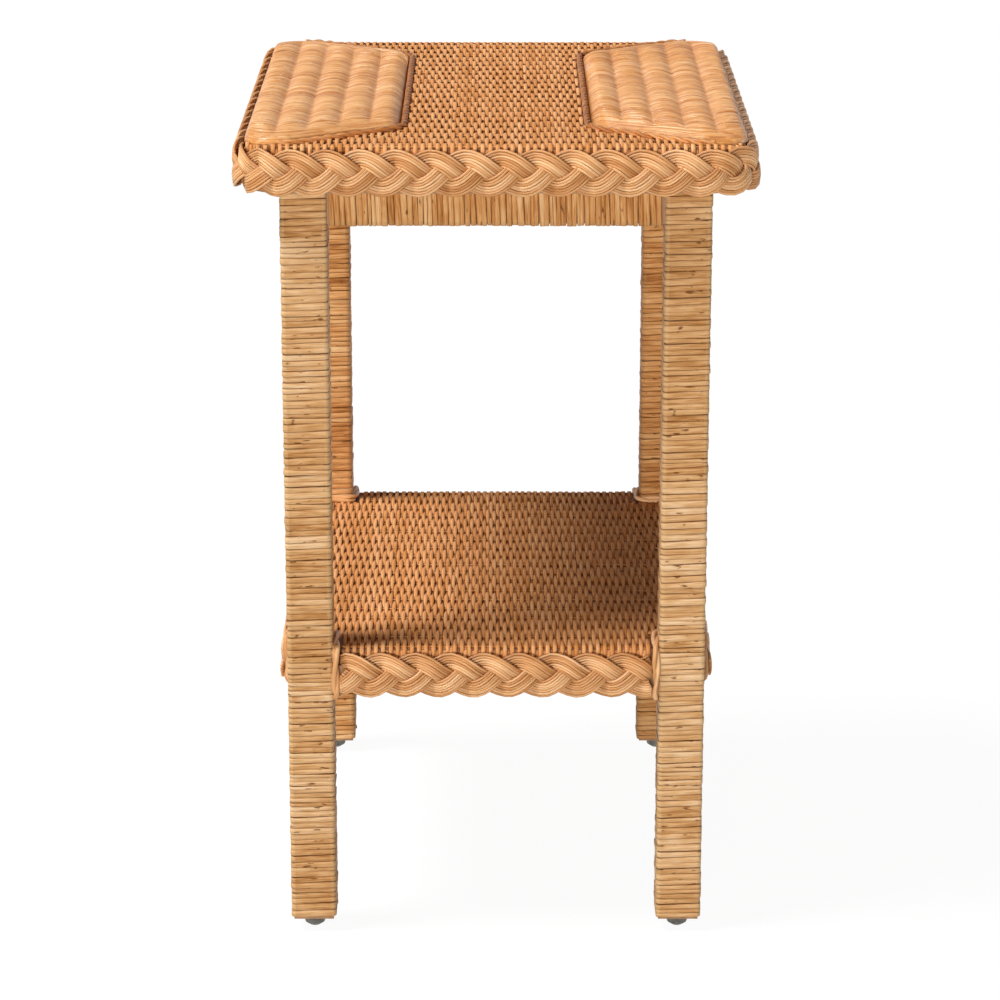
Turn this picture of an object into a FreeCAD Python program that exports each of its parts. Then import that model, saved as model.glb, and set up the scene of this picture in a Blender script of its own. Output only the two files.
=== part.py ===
import FreeCAD, Part
import Sketcher
import math
import os

# Rattan side table: a wooden frame wound in rattan peel, with a woven top and shelf edged in plait.
# Millimetres, +Z up, +X to the right, +Y to the back. The origin is on the floor under the middle.

SIZES = {
    # Top
    "top_width": 380.0,             # across the plaited edge, left to right
    "top_depth": 456.0,             # across the plaited edge, front to back
    "top_height": 609.0,            # floor to the upper face of the woven field
    "top_corner": 33.0,             # plan radius of the woven top's corners
    "panel_thickness": 14.0,        # board under the woven field
    "mat_thickness": 3.0,           # woven reed, on the top and on the shelf
    "edging_height": 18.0,          # strips under the board's rim
    # Woven fields: reeds go over and under stakes that run left to right
    "top_stake_pitch": 19.5,
    "shelf_stake_pitch": 21.8,
    "stake_crest": 5.0,             # flat back of the low rib over a stake
    "weave_relief": 1.4,            # valley between two stakes
    # Plaited edge of three flat strands
    "strand_width": 9.6,
    "strand_thickness": 2.1,
    "plait_rise": 12.0,             # half the travel of a strand up and down
    "plait_depth": 3.4,             # half the travel of a strand in and out
    "plait_period": 75.0,           # length in which a strand comes back to its place
    "plait_drop": 19.5,             # top's woven face down to its plait's middle
    "shelf_plait_drop": 21.0,       # shelf's woven face down to its plait's middle
    # Legs and their feet
    "leg_span_x": 310.0,            # over the wound legs, left to right
    "leg_span_y": 414.0,            # over the wound legs, front to back
    "leg_side": 30.0,               # square wooden core
    "wrap_thickness": 2.0,          # rattan peel
    "wrap_pitch": 20.0,             # one turn of the peel to the next
    "wrap_gap": 0.7,                # open line between turns
    "glide_height": 10.0,
    "glide_diameter": 18.0,
    "glide_flat": 8.0,              # flat at the bottom of the glide's dome
    "glide_knee": 15.0,             # diameter where the dome grows steeper
    "glide_knee_height": 2.5,
    "glide_rim": 2.5,               # upright rim above the glide's dome
    "nail_diameter": 2.4,
    "nail_length": 14.0,
    # Aprons, corner blocks and their fixings
    "apron_height": 41.0,
    "apron_thickness": 16.0,
    "apron_setback": 1.0,           # apron's face behind the leg's face
    "tenon_length": 12.0,           # of the aprons and the shelf's rails, into the legs
    "tenon_thickness": 8.0,
    "apron_tenon": 25.0,            # height of an apron's tenon
    "block_arm": 60.0,              # corner block along each apron
    "block_height": 26.0,
    "screw_diameter": 4.0,
    "screw_head": 8.0,
    "screw_sink": 2.5,              # depth of the screw's countersunk head
    "screw_length": 34.0,
    "screw_inset": 10.0,            # screw from the leg's inner faces
    # Shelf
    "shelf_height": 228.0,          # floor to the upper face of the shelf's weave
    "shelf_width": 307.0,
    "shelf_depth": 406.0,
    "shelf_thickness": 12.0,        # board of the shelf
    "rail_height": 18.0,
    "rail_thickness": 16.0,
    "rail_tenon": 11.0,             # height of a rail's tenon
    "tie_diameter": 6.0,            # reed that binds the shelf's corner to the leg
    "tie_standoff": 0.8,
    "tie_bend": 6.0,
    "tie_drop": 9.5,                # end of the tie below the shelf's rail
    # Ribbed pads on the top
    "pad_gap": 139.0,               # between the two pads
    "pad_length": 414.0,            # outer side
    "pad_inner_length": 304.0,      # inner side, to the points of its cut corners
    "pad_shoulder": 31.5,           # width that has the full length
    "pad_corner": 28.0,             # radius of the inner corners
    "pad_turn": 15.0,               # radius of the shoulders
    "pad_outer_corner": 22.0,       # radius of the outer corners
    "pad_rise": 9.5,                # crest of a rib's cover above the board
    "pad_edge": 6.0,                # bevel round the cover
    "pad_end_height": 4.0,          # cover above the board at its ends
    "pad_end_slope": 30.0,          # length in which the ribs fade towards an end
    "rib_count": 5,
    "flute_depth": 3.2,             # valley between two ribs
    "cover_thickness": 2.0,
    "border_diameter": 5.0,         # twisted cord round the pad
    # Fits
    "clearance": 0.3,               # between pieces with curved or wound faces
    "joint_play": 0.1,              # round tenons, nails and screws in their holes
}

STATIONS = 8                        # sections of a strand in one period of the plait
STRANDS = 3
CORD_SIDES = 8
BEND_STEPS = 3                      # sections of a cord in one bend
FIRMNESS = 1.5                      # how quickly a strand changes between the plait's front and back
SAME = 1e-6                         # lengths closer than this are one length
CORNERS = {
    "front_left": (-1, -1),
    "front_right": (1, -1),
    "back_left": (-1, 1),
    "back_right": (1, 1),
}


class Length:
    """A length known both as a formula in the sheet's cells and as a number of millimetres."""

    def __init__(self, formula, number):
        self.formula = formula
        self.number = number

    def joined(self, sign, other, number):
        return Length(f"({self.formula} {sign} {as_length(other).formula})", number)

    def __add__(self, other):
        return self.joined("+", other, self.number + as_length(other).number)

    def __sub__(self, other):
        return self.joined("-", other, self.number - as_length(other).number)

    def __mul__(self, other):
        return self.joined("*", other, self.number * as_length(other).number)

    def __truediv__(self, other):
        return self.joined("/", other, self.number / as_length(other).number)

    def __neg__(self):
        return Length(f"(-1 * {self.formula})", -self.number)

    def root(self):
        return Length(f"sqrt({self.formula})", math.sqrt(self.number))


def as_length(value):
    return value if isinstance(value, Length) else Length(repr(value), value)


doc = FreeCAD.newDocument("rattan_side_table")
sheet = doc.addObject("Spreadsheet::Sheet", "Sizes")
for row, (alias, number) in enumerate(SIZES.items(), start=1):
    sheet.set(f"A{row}", alias)
    sheet.set(f"B{row}", str(number))
    sheet.setAlias(f"B{row}", alias)
doc.recompute()


def size(alias):
    return Length("Sizes." + alias, float(sheet.get(alias)))


nodes = []


def node(item, label):
    """Name a finished sub-part."""
    item.Label = label
    nodes.append(item)
    return item


# Places worked out from the sizes

gap = size("clearance")
mat = size("mat_thickness")
wrap = size("wrap_thickness")
plait_room = size("plait_depth") * 2 + size("strand_thickness")
plait_middle = gap + plait_room / 2

mat_x = size("top_width") / 2 - gap - plait_room
mat_y = size("top_depth") / 2 - gap - plait_room
panel_x = mat_x - mat - gap
panel_y = mat_y - mat - gap
panel_top = size("top_height") - mat
panel_low = panel_top - size("panel_thickness")
edging_low = panel_low - size("edging_height")

leg_x = size("leg_span_x") / 2
leg_y = size("leg_span_y") / 2
core_x = leg_x - wrap
core_y = leg_y - wrap
leg_in_x = core_x - size("leg_side")
leg_in_y = core_y - size("leg_side")
leg_mid_x = core_x - size("leg_side") / 2
leg_mid_y = core_y - size("leg_side") / 2
leg_low = size("glide_height")

apron_x = leg_x - size("apron_setback") - wrap
apron_y = leg_y - size("apron_setback") - wrap
apron_back_x = apron_x - size("apron_thickness")
apron_back_y = apron_y - size("apron_thickness")
apron_top = panel_low - wrap
apron_low = apron_top - size("apron_height")
head_low = apron_low - wrap

shelf_x = size("shelf_width") / 2
shelf_y = size("shelf_depth") / 2
shelf_top = size("shelf_height") - mat
shelf_low = shelf_top - size("shelf_thickness")
rail_low = shelf_low - size("rail_height")
rail_back_x = shelf_x - size("rail_thickness")
rail_back_y = shelf_y - size("rail_thickness")
tie = size("tie_diameter")
tie_off = gap + tie / 2 + size("tie_standoff")
tie_room = tie_off + tie / 2 + gap
tie_end = rail_low - size("tie_drop")
bare_low = tie_end - gap
collar_top = shelf_top + tie + gap * 2


# Building blocks bound to the sheet

def bind(item, places):
    for prop, length in places.items():
        item.setExpression(prop, as_length(length).formula)
    return item


def box(name, x, y, z):
    """A block from its low and high faces along each axis."""
    item = doc.addObject("Part::Box", name)
    return bind(item, {
        "Length": x[1] - x[0],
        "Width": y[1] - y[0],
        "Height": z[1] - z[0],
        "Placement.Base.x": x[0],
        "Placement.Base.y": y[0],
        "Placement.Base.z": z[0],
    })


TURNED = {
    "y": FreeCAD.Rotation(FreeCAD.Vector(1, 0, 0), -90),
    "z": FreeCAD.Rotation(),
}


def round_bar(name, axis, radius, start, length):
    """A cylinder along one axis from its start point."""
    item = doc.addObject("Part::Cylinder", name)
    item.Placement = FreeCAD.Placement(FreeCAD.Vector(), TURNED[axis])
    return bind(item, {
        "Radius": radius,
        "Height": length,
        "Placement.Base.x": start[0],
        "Placement.Base.y": start[1],
        "Placement.Base.z": start[2],
    })


def cone(name, low_radius, high_radius, start, length):
    item = doc.addObject("Part::Cone", name)
    return bind(item, {
        "Radius1": low_radius,
        "Radius2": high_radius,
        "Height": length,
        "Placement.Base.x": start[0],
        "Placement.Base.y": start[1],
        "Placement.Base.z": start[2],
    })


def groove(name, reach, middle, half_width, level, depth):
    """A shallow valley from left to right, cut down from a level."""
    item = doc.addObject("Part::Wedge", name)
    item.Placement = FreeCAD.Placement(FreeCAD.Vector(), TURNED["y"])
    return bind(item, {
        "Xmin": -reach,
        "Xmax": reach,
        "X2min": -reach,
        "X2max": reach,
        "Ymin": 0.0,
        "Ymax": depth,
        "Zmin": -half_width,
        "Zmax": half_width,
        "Z2min": 0.0,
        "Z2max": 0.0,
        "Placement.Base.y": middle,
        "Placement.Base.z": level,
    })


def group(name, members):
    item = doc.addObject("Part::Compound", name)
    item.Links = members
    return item


def cut(name, base, tools):
    item = doc.addObject("Part::Cut", name)
    item.Base = base
    item.Tool = tools[0] if len(tools) == 1 else group(name + "_tools", tools)
    return item


def common(name, shapes):
    item = doc.addObject("Part::MultiCommon", name)
    item.Shapes = shapes
    return item


def fused(name, shapes):
    item = doc.addObject("Part::MultiFuse", name)
    item.Shapes = shapes
    return item


def mirrored(name, source, normal):
    item = doc.addObject("Part::Mirroring", name)
    item.Source = source
    item.Base = FreeCAD.Vector()
    item.Normal = normal
    return item


def span(sign, near, far):
    """Low and high face of a piece that lies between near and far on one side of the middle."""
    return (near, far) if sign > 0 else (-far, -near)


def body_sketch(name, role):
    """A body and an empty sketch on one of its own origin planes."""
    body = doc.addObject("PartDesign::Body", name)
    sketch = body.newObject("Sketcher::SketchObject", name + "_sketch")
    plane = [feature for feature in body.Origin.OriginFeatures if feature.Role == role][0]
    sketch.AttachmentSupport = [(plane, "")]
    sketch.MapMode = "FlatFace"
    return body, sketch


def closed_lines(sketch, points):
    """A closed outline of straight lines through points given as lengths."""
    at = [FreeCAD.Vector(x.number, y.number, 0) for x, y in points]
    count = len(at)
    for i in range(count):
        sketch.addGeometry(Part.LineSegment(at[i], at[(i + 1) % count]), False)
    for i in range(count):
        sketch.addConstraint(Sketcher.Constraint("Coincident", i, 2, (i + 1) % count, 1))


def dimension(sketch, kind, name, first, second, length):
    """A named driving dimension between two points of a sketch, bound to its formula."""
    index = sketch.addConstraint(Sketcher.Constraint(kind, *first, *second, length.number))
    sketch.renameConstraint(index, name)
    sketch.setExpression("Constraints." + name, length.formula)


ORIGIN = (-1, 1)
ALONG_X = -1


def pad_up(body, sketch, low, high):
    """Raise a sketch from its low to its high level."""
    bind(body, {"Placement.Base.z": low})
    pad = body.newObject("PartDesign::Pad", body.Name + "_pad")
    pad.Profile = sketch
    bind(pad, {"Length": high - low})
    doc.recompute()
    return pad


def round_edges(body, feature, wanted, radius, name):
    """Round the edges of a feature that the test picks."""
    fillet = body.newObject("PartDesign::Fillet", body.Name + name)
    edges = [f"Edge{i}" for i, edge in enumerate(feature.Shape.Edges, start=1) if wanted(edge)]
    fillet.Base = (feature, edges)
    bind(fillet, {"Radius": radius})
    doc.recompute()
    return fillet


def upright(edge):
    first, last = edge.Vertexes[0].Point, edge.Vertexes[-1].Point
    return first.distanceToPoint(last) > 0 and abs(abs(first.z - last.z) - edge.Length) < SAME


def upright_at(x):
    """A test for the upright edges at one distance to the right."""
    return lambda edge: upright(edge) and abs(edge.Vertexes[0].X - x.number) < SAME


def rounded_block(name, half_x, half_y, radius, low, high):
    """A rectangular board, centred on the origin, with rounded corners in plan."""
    body, sketch = body_sketch(name, "XY_Plane")
    corners = [(-half_x, -half_y), (half_x, -half_y), (half_x, half_y), (-half_x, half_y)]
    closed_lines(sketch, corners)
    for line, kind in enumerate(("Horizontal", "Vertical", "Horizontal", "Vertical")):
        sketch.addConstraint(Sketcher.Constraint(kind, line))
    sketch.addConstraint(Sketcher.Constraint("Symmetric", 0, 1, 2, 1, -1, 1))
    dimension(sketch, "DistanceX", "width", (0, 1), (0, 2), half_x * 2)
    dimension(sketch, "DistanceY", "depth", (1, 1), (1, 2), half_y * 2)
    pad = pad_up(body, sketch, low, high)
    round_edges(body, pad, upright, radius, "_corners")
    return body


def faceted(rings):
    """A solid through many-cornered sections: flat sides stay whole, twisted ones are two triangles."""
    count = len(rings[0])
    faces = [Part.Face(Part.makePolygon(ring + ring[:1])) for ring in (rings[0], rings[-1])]
    for near, far in zip(rings, rings[1:]):
        for k in range(count):
            a, b, c, d = near[k], near[(k + 1) % count], far[(k + 1) % count], far[k]
            twist = abs((b - a).cross(c - a).dot(d - a))
            corners = [[a, b, c, d]] if twist < SAME else [[a, b, c], [a, c, d]]
            faces += [Part.Face(Part.makePolygon(points + points[:1])) for points in corners]
    shell = Part.makeShell(faces)
    shell.sewShape()
    solid = Part.makeSolid(shell)
    if solid.Volume < 0:
        solid.reverse()
    return solid


def shape_piece(name, shape):
    """A sub-part whose form no single feature makes: its shape is worked out from the sizes."""
    item = doc.addObject("Part::Feature", name)
    item.Shape = shape
    return item


# Aprons and rails tenoned into the legs

SIDES = {
    "front": ("x", -1, ("front_left", "front_right")),
    "back": ("x", 1, ("back_left", "back_right")),
    "left": ("y", -1, ("front_left", "back_left")),
    "right": ("y", 1, ("front_right", "back_right")),
}
mortises = {corner: [] for corner in CORNERS}


def bar_box(name, axis, sign, reach, near, far, z):
    """A block along one side of the table, equally far to both ends."""
    across = span(sign, near, far)
    if axis == "x":
        return box(name, (-reach, reach), across, z)
    return box(name, across, (-reach, reach), z)


def bar(kind, side, fronts, backs, low, high, tenon_height):
    """A bar between two legs with a tenon at each end; the room for its tenons is kept for the legs."""
    axis, sign, corners = SIDES[side]
    name = f"{kind}_{side}"
    pick = 1 if axis == "x" else 0
    inner = (leg_in_x, leg_in_y)[1 - pick]
    front, back = fronts[pick], backs[pick]
    middle = (front + back) / 2
    level = (low + high) / 2
    half_thick = size("tenon_thickness") / 2
    half_high = tenon_height / 2
    tenon_reach = inner + size("tenon_length")
    play = size("joint_play")
    core = bar_box(name + "_core", axis, sign, inner, back, front, (low, high))
    tenon = bar_box(name + "_tenon", axis, sign, tenon_reach, middle - half_thick, middle + half_thick,
                    (level - half_high, level + half_high))
    room = bar_box(name + "_mortise", axis, sign, tenon_reach + play, middle - half_thick - play,
                   middle + half_thick + play, (level - half_high - play, level + half_high + play))
    for corner in corners:
        mortises[corner].append(room)
    node(fused(name + "_bar", [core, tenon]), name)


for side in SIDES:
    bar("apron", side, (apron_x, apron_y), (apron_back_x, apron_back_y), apron_low, apron_top,
        size("apron_tenon"))
    bar("shelf_rail", side, (shelf_x, shelf_y), (rail_back_x, rail_back_y), rail_low, shelf_low,
        size("rail_tenon"))


def leg(corner):
    """A square leg from the glide to the top board, mortised and drilled for the glide's nail."""
    sx, sy = CORNERS[corner]
    core = box(f"leg_core_{corner}", span(sx, leg_in_x, core_x), span(sy, leg_in_y, core_y),
               (leg_low, panel_low))
    foot = (leg_mid_x * sx, leg_mid_y * sy, leg_low)
    bore = size("nail_diameter") / 2 + size("joint_play")
    nail_hole = round_bar(f"nail_hole_{corner}", "z", bore, foot, size("nail_length") + size("joint_play"))
    node(cut(f"leg_{corner}_cut", core, [nail_hole] + mortises[corner]), f"leg_{corner}")


def glide(corner):
    """A domed steel foot glide with its nail, turned about its own upright axis."""
    sx, sy = CORNERS[corner]
    body, sketch = body_sketch(f"glide_{corner}", "XZ_Plane")
    rim = size("glide_diameter") / 2
    flat = size("glide_flat") / 2
    knee = size("glide_knee") / 2
    knee_height = size("glide_knee_height")
    pin = size("nail_diameter") / 2
    top = size("glide_height")
    brow = top - size("glide_rim")
    tip = top + size("nail_length")
    origin = as_length(0.0)
    points = [(origin, origin), (flat, origin), (knee, knee_height), (rim, brow), (rim, top), (pin, top),
              (pin, tip), (origin, tip)]
    closed_lines(sketch, points)
    sketch.addConstraint(Sketcher.Constraint("Coincident", 0, 1, *ORIGIN))
    for line in (0, 4, 6):
        sketch.addConstraint(Sketcher.Constraint("Horizontal", line))
    for line in (3, 5, 7):
        sketch.addConstraint(Sketcher.Constraint("Vertical", line))
    dimension(sketch, "DistanceX", "flat", ORIGIN, (0, 2), flat)
    dimension(sketch, "DistanceX", "knee", ORIGIN, (1, 2), knee)
    dimension(sketch, "DistanceX", "rim", ORIGIN, (2, 2), rim)
    dimension(sketch, "DistanceX", "pin", ORIGIN, (4, 2), pin)
    dimension(sketch, "DistanceY", "knee_height", ORIGIN, (1, 2), knee_height)
    dimension(sketch, "DistanceY", "brow", ORIGIN, (2, 2), brow)
    dimension(sketch, "DistanceY", "top", ORIGIN, (3, 2), top)
    dimension(sketch, "DistanceY", "tip", ORIGIN, (5, 2), tip)
    turned = body.newObject("PartDesign::Revolution", body.Name + "_turned")
    turned.Profile = sketch
    turned.ReferenceAxis = (sketch, ["V_Axis"])
    turned.Angle = 360
    doc.recompute()
    return bind(body, {"Placement.Base.x": leg_mid_x * sx, "Placement.Base.y": leg_mid_y * sy})


for corner in CORNERS:
    leg(corner)
node(group("foot_glides_group", [glide(corner) for corner in CORNERS]), "foot_glides")


# Peel wound round the legs and aprons

def winding(axis, middle, halves, low, high):
    """One unbroken flat band wound round a rectangular bar, mitred at each of its corners."""
    pitch = size("wrap_pitch").number
    turns = max(1, round((high - low) / pitch))
    width = (high - low) / (turns + 1) - size("wrap_gap").number
    rise = (high - low - width) / turns
    peel = wrap.number
    signs = [(1, 1), (-1, 1), (-1, -1), (1, -1)]
    shares = [halves[0], halves[1], halves[0], halves[1]]
    level = low + width / 2
    rings = []
    for step in range(4 * turns + 1):
        a, b = signs[step % 4]
        inner = (middle[0] + a * halves[0], middle[1] + b * halves[1])
        outer = (inner[0] + a * peel, inner[1] + b * peel)
        ring = [(inner, level - width / 2), (outer, level - width / 2),
                (outer, level + width / 2), (inner, level + width / 2)]
        rings.append([axis_point(axis, point, height) for point, height in ring])
        level += rise * shares[step % 4] / (2 * (halves[0] + halves[1]))
    least = min((rings[i + 4][0] - rings[i][3]).Length for i in range(len(rings) - 4))
    return faceted(rings), turns, least


def axis_point(axis, cross, along):
    """A point from its two coordinates across an axis and the one along it."""
    if axis == "x":
        return FreeCAD.Vector(along, cross[0], cross[1])
    if axis == "y":
        return FreeCAD.Vector(cross[1], along, cross[0])
    return FreeCAD.Vector(cross[0], cross[1], along)


def wound(name, label, axis, middle, halves, low, high):
    shape, turns, least = winding(axis, middle, halves, low.number, high.number)
    print(f"{label}: {turns} turns, least gap between turns {least:.2f} mm")
    node(shape_piece(name, shape), label)


def corner_bands(corner, zones):
    """Peel on the two outer faces of a leg where a bar joins its inner faces."""
    sx, sy = CORNERS[corner]
    bands = []
    for low, high in zones:
        count = max(1, round((high.number - low.number) / size("wrap_pitch").number))
        step = (high - low) / count
        for i in range(count):
            name = f"band_{corner}_{len(bands)}"
            z = (low + step * i + size("wrap_gap") / 2, low + step * (i + 1) - size("wrap_gap") / 2)
            whole = box(name + "_whole", span(sx, leg_in_x, leg_x), span(sy, leg_in_y, leg_y), z)
            core = box(name + "_core", span(sx, leg_in_x - wrap, core_x),
                       span(sy, leg_in_y - wrap, core_y), z)
            bands.append(cut(name, whole, [core]))
    node(group(f"corner_bands_{corner}_group", bands), f"leg_corner_bands_{corner}")


half_leg = size("leg_side").number / 2
for corner, (sx, sy) in CORNERS.items():
    middle = (leg_mid_x.number * sx, leg_mid_y.number * sy)
    wound(f"lower_wrap_{corner}", f"leg_wrap_lower_{corner}", "z", middle, (half_leg, half_leg),
          leg_low, bare_low)
    wound(f"upper_wrap_{corner}", f"leg_wrap_upper_{corner}", "z", middle, (half_leg, half_leg),
          collar_top, head_low)
    corner_bands(corner, [(bare_low, collar_top), (head_low, panel_low)])

apron_level = (apron_top + apron_low) / 2
for side, (axis, sign, corners) in SIDES.items():
    half_thick = size("apron_thickness").number / 2
    half_high = size("apron_height").number / 2
    if axis == "x":
        middle = (sign * (apron_y + apron_back_y).number / 2, apron_level.number)
        wound(f"wrap_apron_{side}", f"apron_wrap_{side}", "x", middle, (half_thick, half_high),
              -leg_in_x + gap, leg_in_x - gap)
    else:
        middle = (apron_level.number, sign * (apron_x + apron_back_x).number / 2)
        wound(f"wrap_apron_{side}", f"apron_wrap_{side}", "y", middle, (half_high, half_thick),
              -leg_in_y + gap, leg_in_y - gap)


# Corner blocks and the screws that hold the top

block_low = panel_low - size("block_height")
screw_at = (leg_in_x - size("screw_inset"), leg_in_y - size("screw_inset"))


def corner_block():
    """A block that fills the corner of two aprons and is notched round the leg."""
    body, sketch = body_sketch("corner_block", "XY_Plane")
    face_x = apron_back_x - wrap - gap
    face_y = apron_back_y - wrap - gap
    notch_x = leg_in_x - gap
    notch_y = leg_in_y - gap
    arm = size("block_arm")
    points = [(face_x - arm, face_y), (face_x, face_y - arm), (face_x, notch_y), (notch_x, notch_y),
              (notch_x, face_y)]
    closed_lines(sketch, points)
    for i, (x, y) in enumerate(points):
        dimension(sketch, "DistanceX", f"x{i}", ORIGIN, (i, 1), x)
        dimension(sketch, "DistanceY", f"y{i}", ORIGIN, (i, 1), y)
    pad_up(body, sketch, block_low, panel_low)
    return body


def screw(name, extra):
    """A countersunk wood screw that points up, or with some extra all round, the hole for it."""
    start = (screw_at[0], screw_at[1], block_low)
    shank = size("screw_diameter") / 2 + extra
    head = cone(name + "_head", size("screw_head") / 2 + extra, shank, start, size("screw_sink") + extra)
    stem = round_bar(name + "_stem", "z", shank, start, size("screw_length") + extra)
    return fused(name, [head, stem])


def four_corners(name, source):
    """A piece of the back right corner, repeated at all four corners."""
    left = mirrored(name + "_left", source, FreeCAD.Vector(1, 0, 0))
    front = mirrored(name + "_front", source, FreeCAD.Vector(0, 1, 0))
    front_left = mirrored(name + "_front_left", left, FreeCAD.Vector(0, 1, 0))
    return [source, left, front, front_left]


screw_hole = screw("screw_hole", size("joint_play"))
drilled_block = cut("corner_block_drilled", corner_block(), [screw_hole])
node(group("corner_blocks_group", four_corners("corner_block_copy", drilled_block)), "corner_blocks")
top_screw = screw("top_screw", as_length(0.0))
node(group("top_screws_group", four_corners("top_screw_copy", top_screw)), "top_screws")


# Top board and its edging

panel_corner = size("top_corner") - mat - gap
panel_body = rounded_block("top_board", panel_x, panel_y, panel_corner, panel_low, panel_top)
node(cut("top_panel_cut", panel_body, four_corners("panel_screw_hole", screw_hole)), "top_panel")

edging_form = rounded_block("edging_form", mat_x, mat_y, size("top_corner"), edging_low, panel_low)
edging_in_x = leg_x + gap
edging_in_y = leg_y + gap
for side, sign in (("front", -1), ("back", 1)):
    part_of_rim = box(f"edging_{side}_room", (-mat_x, mat_x), span(sign, edging_in_y, mat_y),
                      (edging_low, panel_low))
    node(common(f"edging_{side}", [edging_form, part_of_rim]), f"top_edging_{side}")
for side, sign in (("left", -1), ("right", 1)):
    part_of_rim = box(f"edging_{side}_room", span(sign, edging_in_x, mat_x), (-edging_in_y, edging_in_y),
                      (edging_low, panel_low))
    node(common(f"edging_{side}", [edging_form, part_of_rim]), f"top_edging_{side}")


# Ribbed pads with their covers and border cords

pad_in = size("pad_gap") / 2
pad_out = mat_x - mat - gap
pad_half = size("pad_length") / 2
pad_cut = size("pad_inner_length") / 2
slant_x = pad_out - size("pad_shoulder") - pad_in
slant_y = pad_half - pad_cut
slant = (slant_x * slant_x + slant_y * slant_y).root()
shoulder_lean = (slant - slant_x) / slant_y
corner_lean = (slant - slant_y) / slant_x


def pad_points(offset):
    """Corner points of the right pad's back half, moved outwards by an offset."""
    outer = (pad_out + offset, pad_half + offset)
    shoulder = (pad_out - size("pad_shoulder") - offset * shoulder_lean, pad_half + offset)
    inner = (pad_in - offset, pad_cut + offset * corner_lean)
    return outer, shoulder, inner


def pad_block(name, offset, low, high, bevel):
    """A block with the pad's outline: full length outside, cut and rounded corners inside."""
    body, sketch = body_sketch(name, "XY_Plane")
    outer, shoulder, inner = pad_points(offset)
    front = [(x, -y) for x, y in (inner, shoulder, outer)]
    closed_lines(sketch, [outer, shoulder, inner] + front)
    for near, far in ((0, 5), (1, 4), (2, 3)):
        sketch.addConstraint(Sketcher.Constraint("Symmetric", near, 1, far, 1, ALONG_X))
    sketch.addConstraint(Sketcher.Constraint("Horizontal", 0))
    dimension(sketch, "DistanceX", "outer_x", ORIGIN, (0, 1), outer[0])
    dimension(sketch, "DistanceX", "shoulder_x", ORIGIN, (1, 1), shoulder[0])
    dimension(sketch, "DistanceX", "inner_x", ORIGIN, (2, 1), inner[0])
    dimension(sketch, "DistanceY", "outer_y", ORIGIN, (0, 1), outer[1])
    dimension(sketch, "DistanceY", "inner_y", ORIGIN, (2, 1), inner[1])
    feature = pad_up(body, sketch, low, high)
    feature = round_edges(body, feature, upright_at(inner[0]), size("pad_corner") + offset, "_corners")
    feature = round_edges(body, feature, upright_at(shoulder[0]), size("pad_turn") + offset, "_shoulders")
    feature = round_edges(body, feature, upright_at(outer[0]), size("pad_outer_corner") + offset, "_outer")
    if bevel:
        level = (high - low).number
        rim = [f"Edge{i}" for i, edge in enumerate(feature.Shape.Edges, start=1)
               if all(abs(v.Z - level) < SAME for v in edge.Vertexes)]
        bevelled = body.newObject("PartDesign::Chamfer", name + "_rim")
        bevelled.Base = (feature, rim)
        bind(bevelled, {"Size": bevel})
        doc.recompute()
    return body


rib_count = int(size("rib_count").number)
rib_pitch = (pad_out - pad_in) / rib_count
flute = size("flute_depth")
flute_radius = (rib_pitch * rib_pitch / 4 + flute * flute) / (flute * 2)
crest = panel_top + size("pad_rise")
cover = size("cover_thickness")


def end_slopes(name, drop):
    """Room above the pad's sloping ends, lowered by some drop: at its shoulders and along its cut corners."""
    reach = size("pad_length")
    level = (panel_top + size("pad_end_height") - drop).number
    tilt = math.atan2((size("pad_rise") - size("pad_end_height")).number, size("pad_end_slope").number)
    outer, shoulder, inner = [FreeCAD.Vector(x.number, y.number, 0) for x, y in pad_points(as_length(0.0))]
    blocks = []
    for number, (near, far) in enumerate(((outer, shoulder), (shoulder, inner))):
        ahead = (far - near).normalize()
        uphill = FreeCAD.Vector(-ahead.y, ahead.x, 0) * math.cos(tilt) + FreeCAD.Vector(0, 0, math.sin(tilt))
        block = doc.addObject("Part::Box", f"{name}_{number}")
        bind(block, {"Length": reach, "Width": reach, "Height": reach})
        start = (near + far) / 2 - ahead * (reach.number / 2) + FreeCAD.Vector(0, 0, level)
        tilted = FreeCAD.Rotation(ahead, uphill, ahead.cross(uphill), "XYZ")
        block.Placement = FreeCAD.Placement(start, tilted)
        blocks += [block, mirrored(f"{name}_{number}_front", block, FreeCAD.Vector(0, 1, 0))]
    return blocks


def sloped_block(name, inset):
    """The pad's block, smaller by an inset all round, bevelled along its rim and sloped down to its ends."""
    block = pad_block(name, -inset, panel_top, crest - inset, size("pad_edge"))
    for room in end_slopes(name + "_slope", inset):
        block = cut(room.Name + "_cut", block, [room])
    return block


def rib_bar(name, index, inset):
    """The round of one rib, along the pad."""
    start = (pad_in + rib_pitch * (index + 0.5), -pad_half, crest - flute_radius)
    return round_bar(name, "y", flute_radius - inset, start, pad_half * 2)


def flutes(name, inset):
    return fused(name, [rib_bar(f"{name}_{i}", i, inset) for i in range(rib_count)])


def ribs():
    """Split poles side by side on the board, cut to the pad's outline."""
    inset = cover + gap
    outline = sloped_block("rib_outline", inset)
    poles = []
    for i in range(rib_count):
        x = (pad_in + rib_pitch * i + gap / 2, pad_in + rib_pitch * (i + 1) - gap / 2)
        slab = box(f"rib_slab_{i}", x, (-pad_half, pad_half), (panel_top, crest))
        poles.append(common(f"rib_{i}", [rib_bar(f"rib_round_{i}", i, inset), slab, outline]))
    return group("pad_ribs", poles)


def pad_cover():
    """Reed laid over the ribs: fluted above, drawn down to the board round its edge."""
    block = sloped_block("cover_block", as_length(0.0))
    hollow = sloped_block("cover_hollow", cover)
    outside = common("cover_outside", [flutes("cover_flutes", as_length(0.0)), block])
    inside = common("cover_inside", [flutes("cover_flutes_inside", cover), hollow])
    return cut("pad_cover", outside, [inside])


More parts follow.
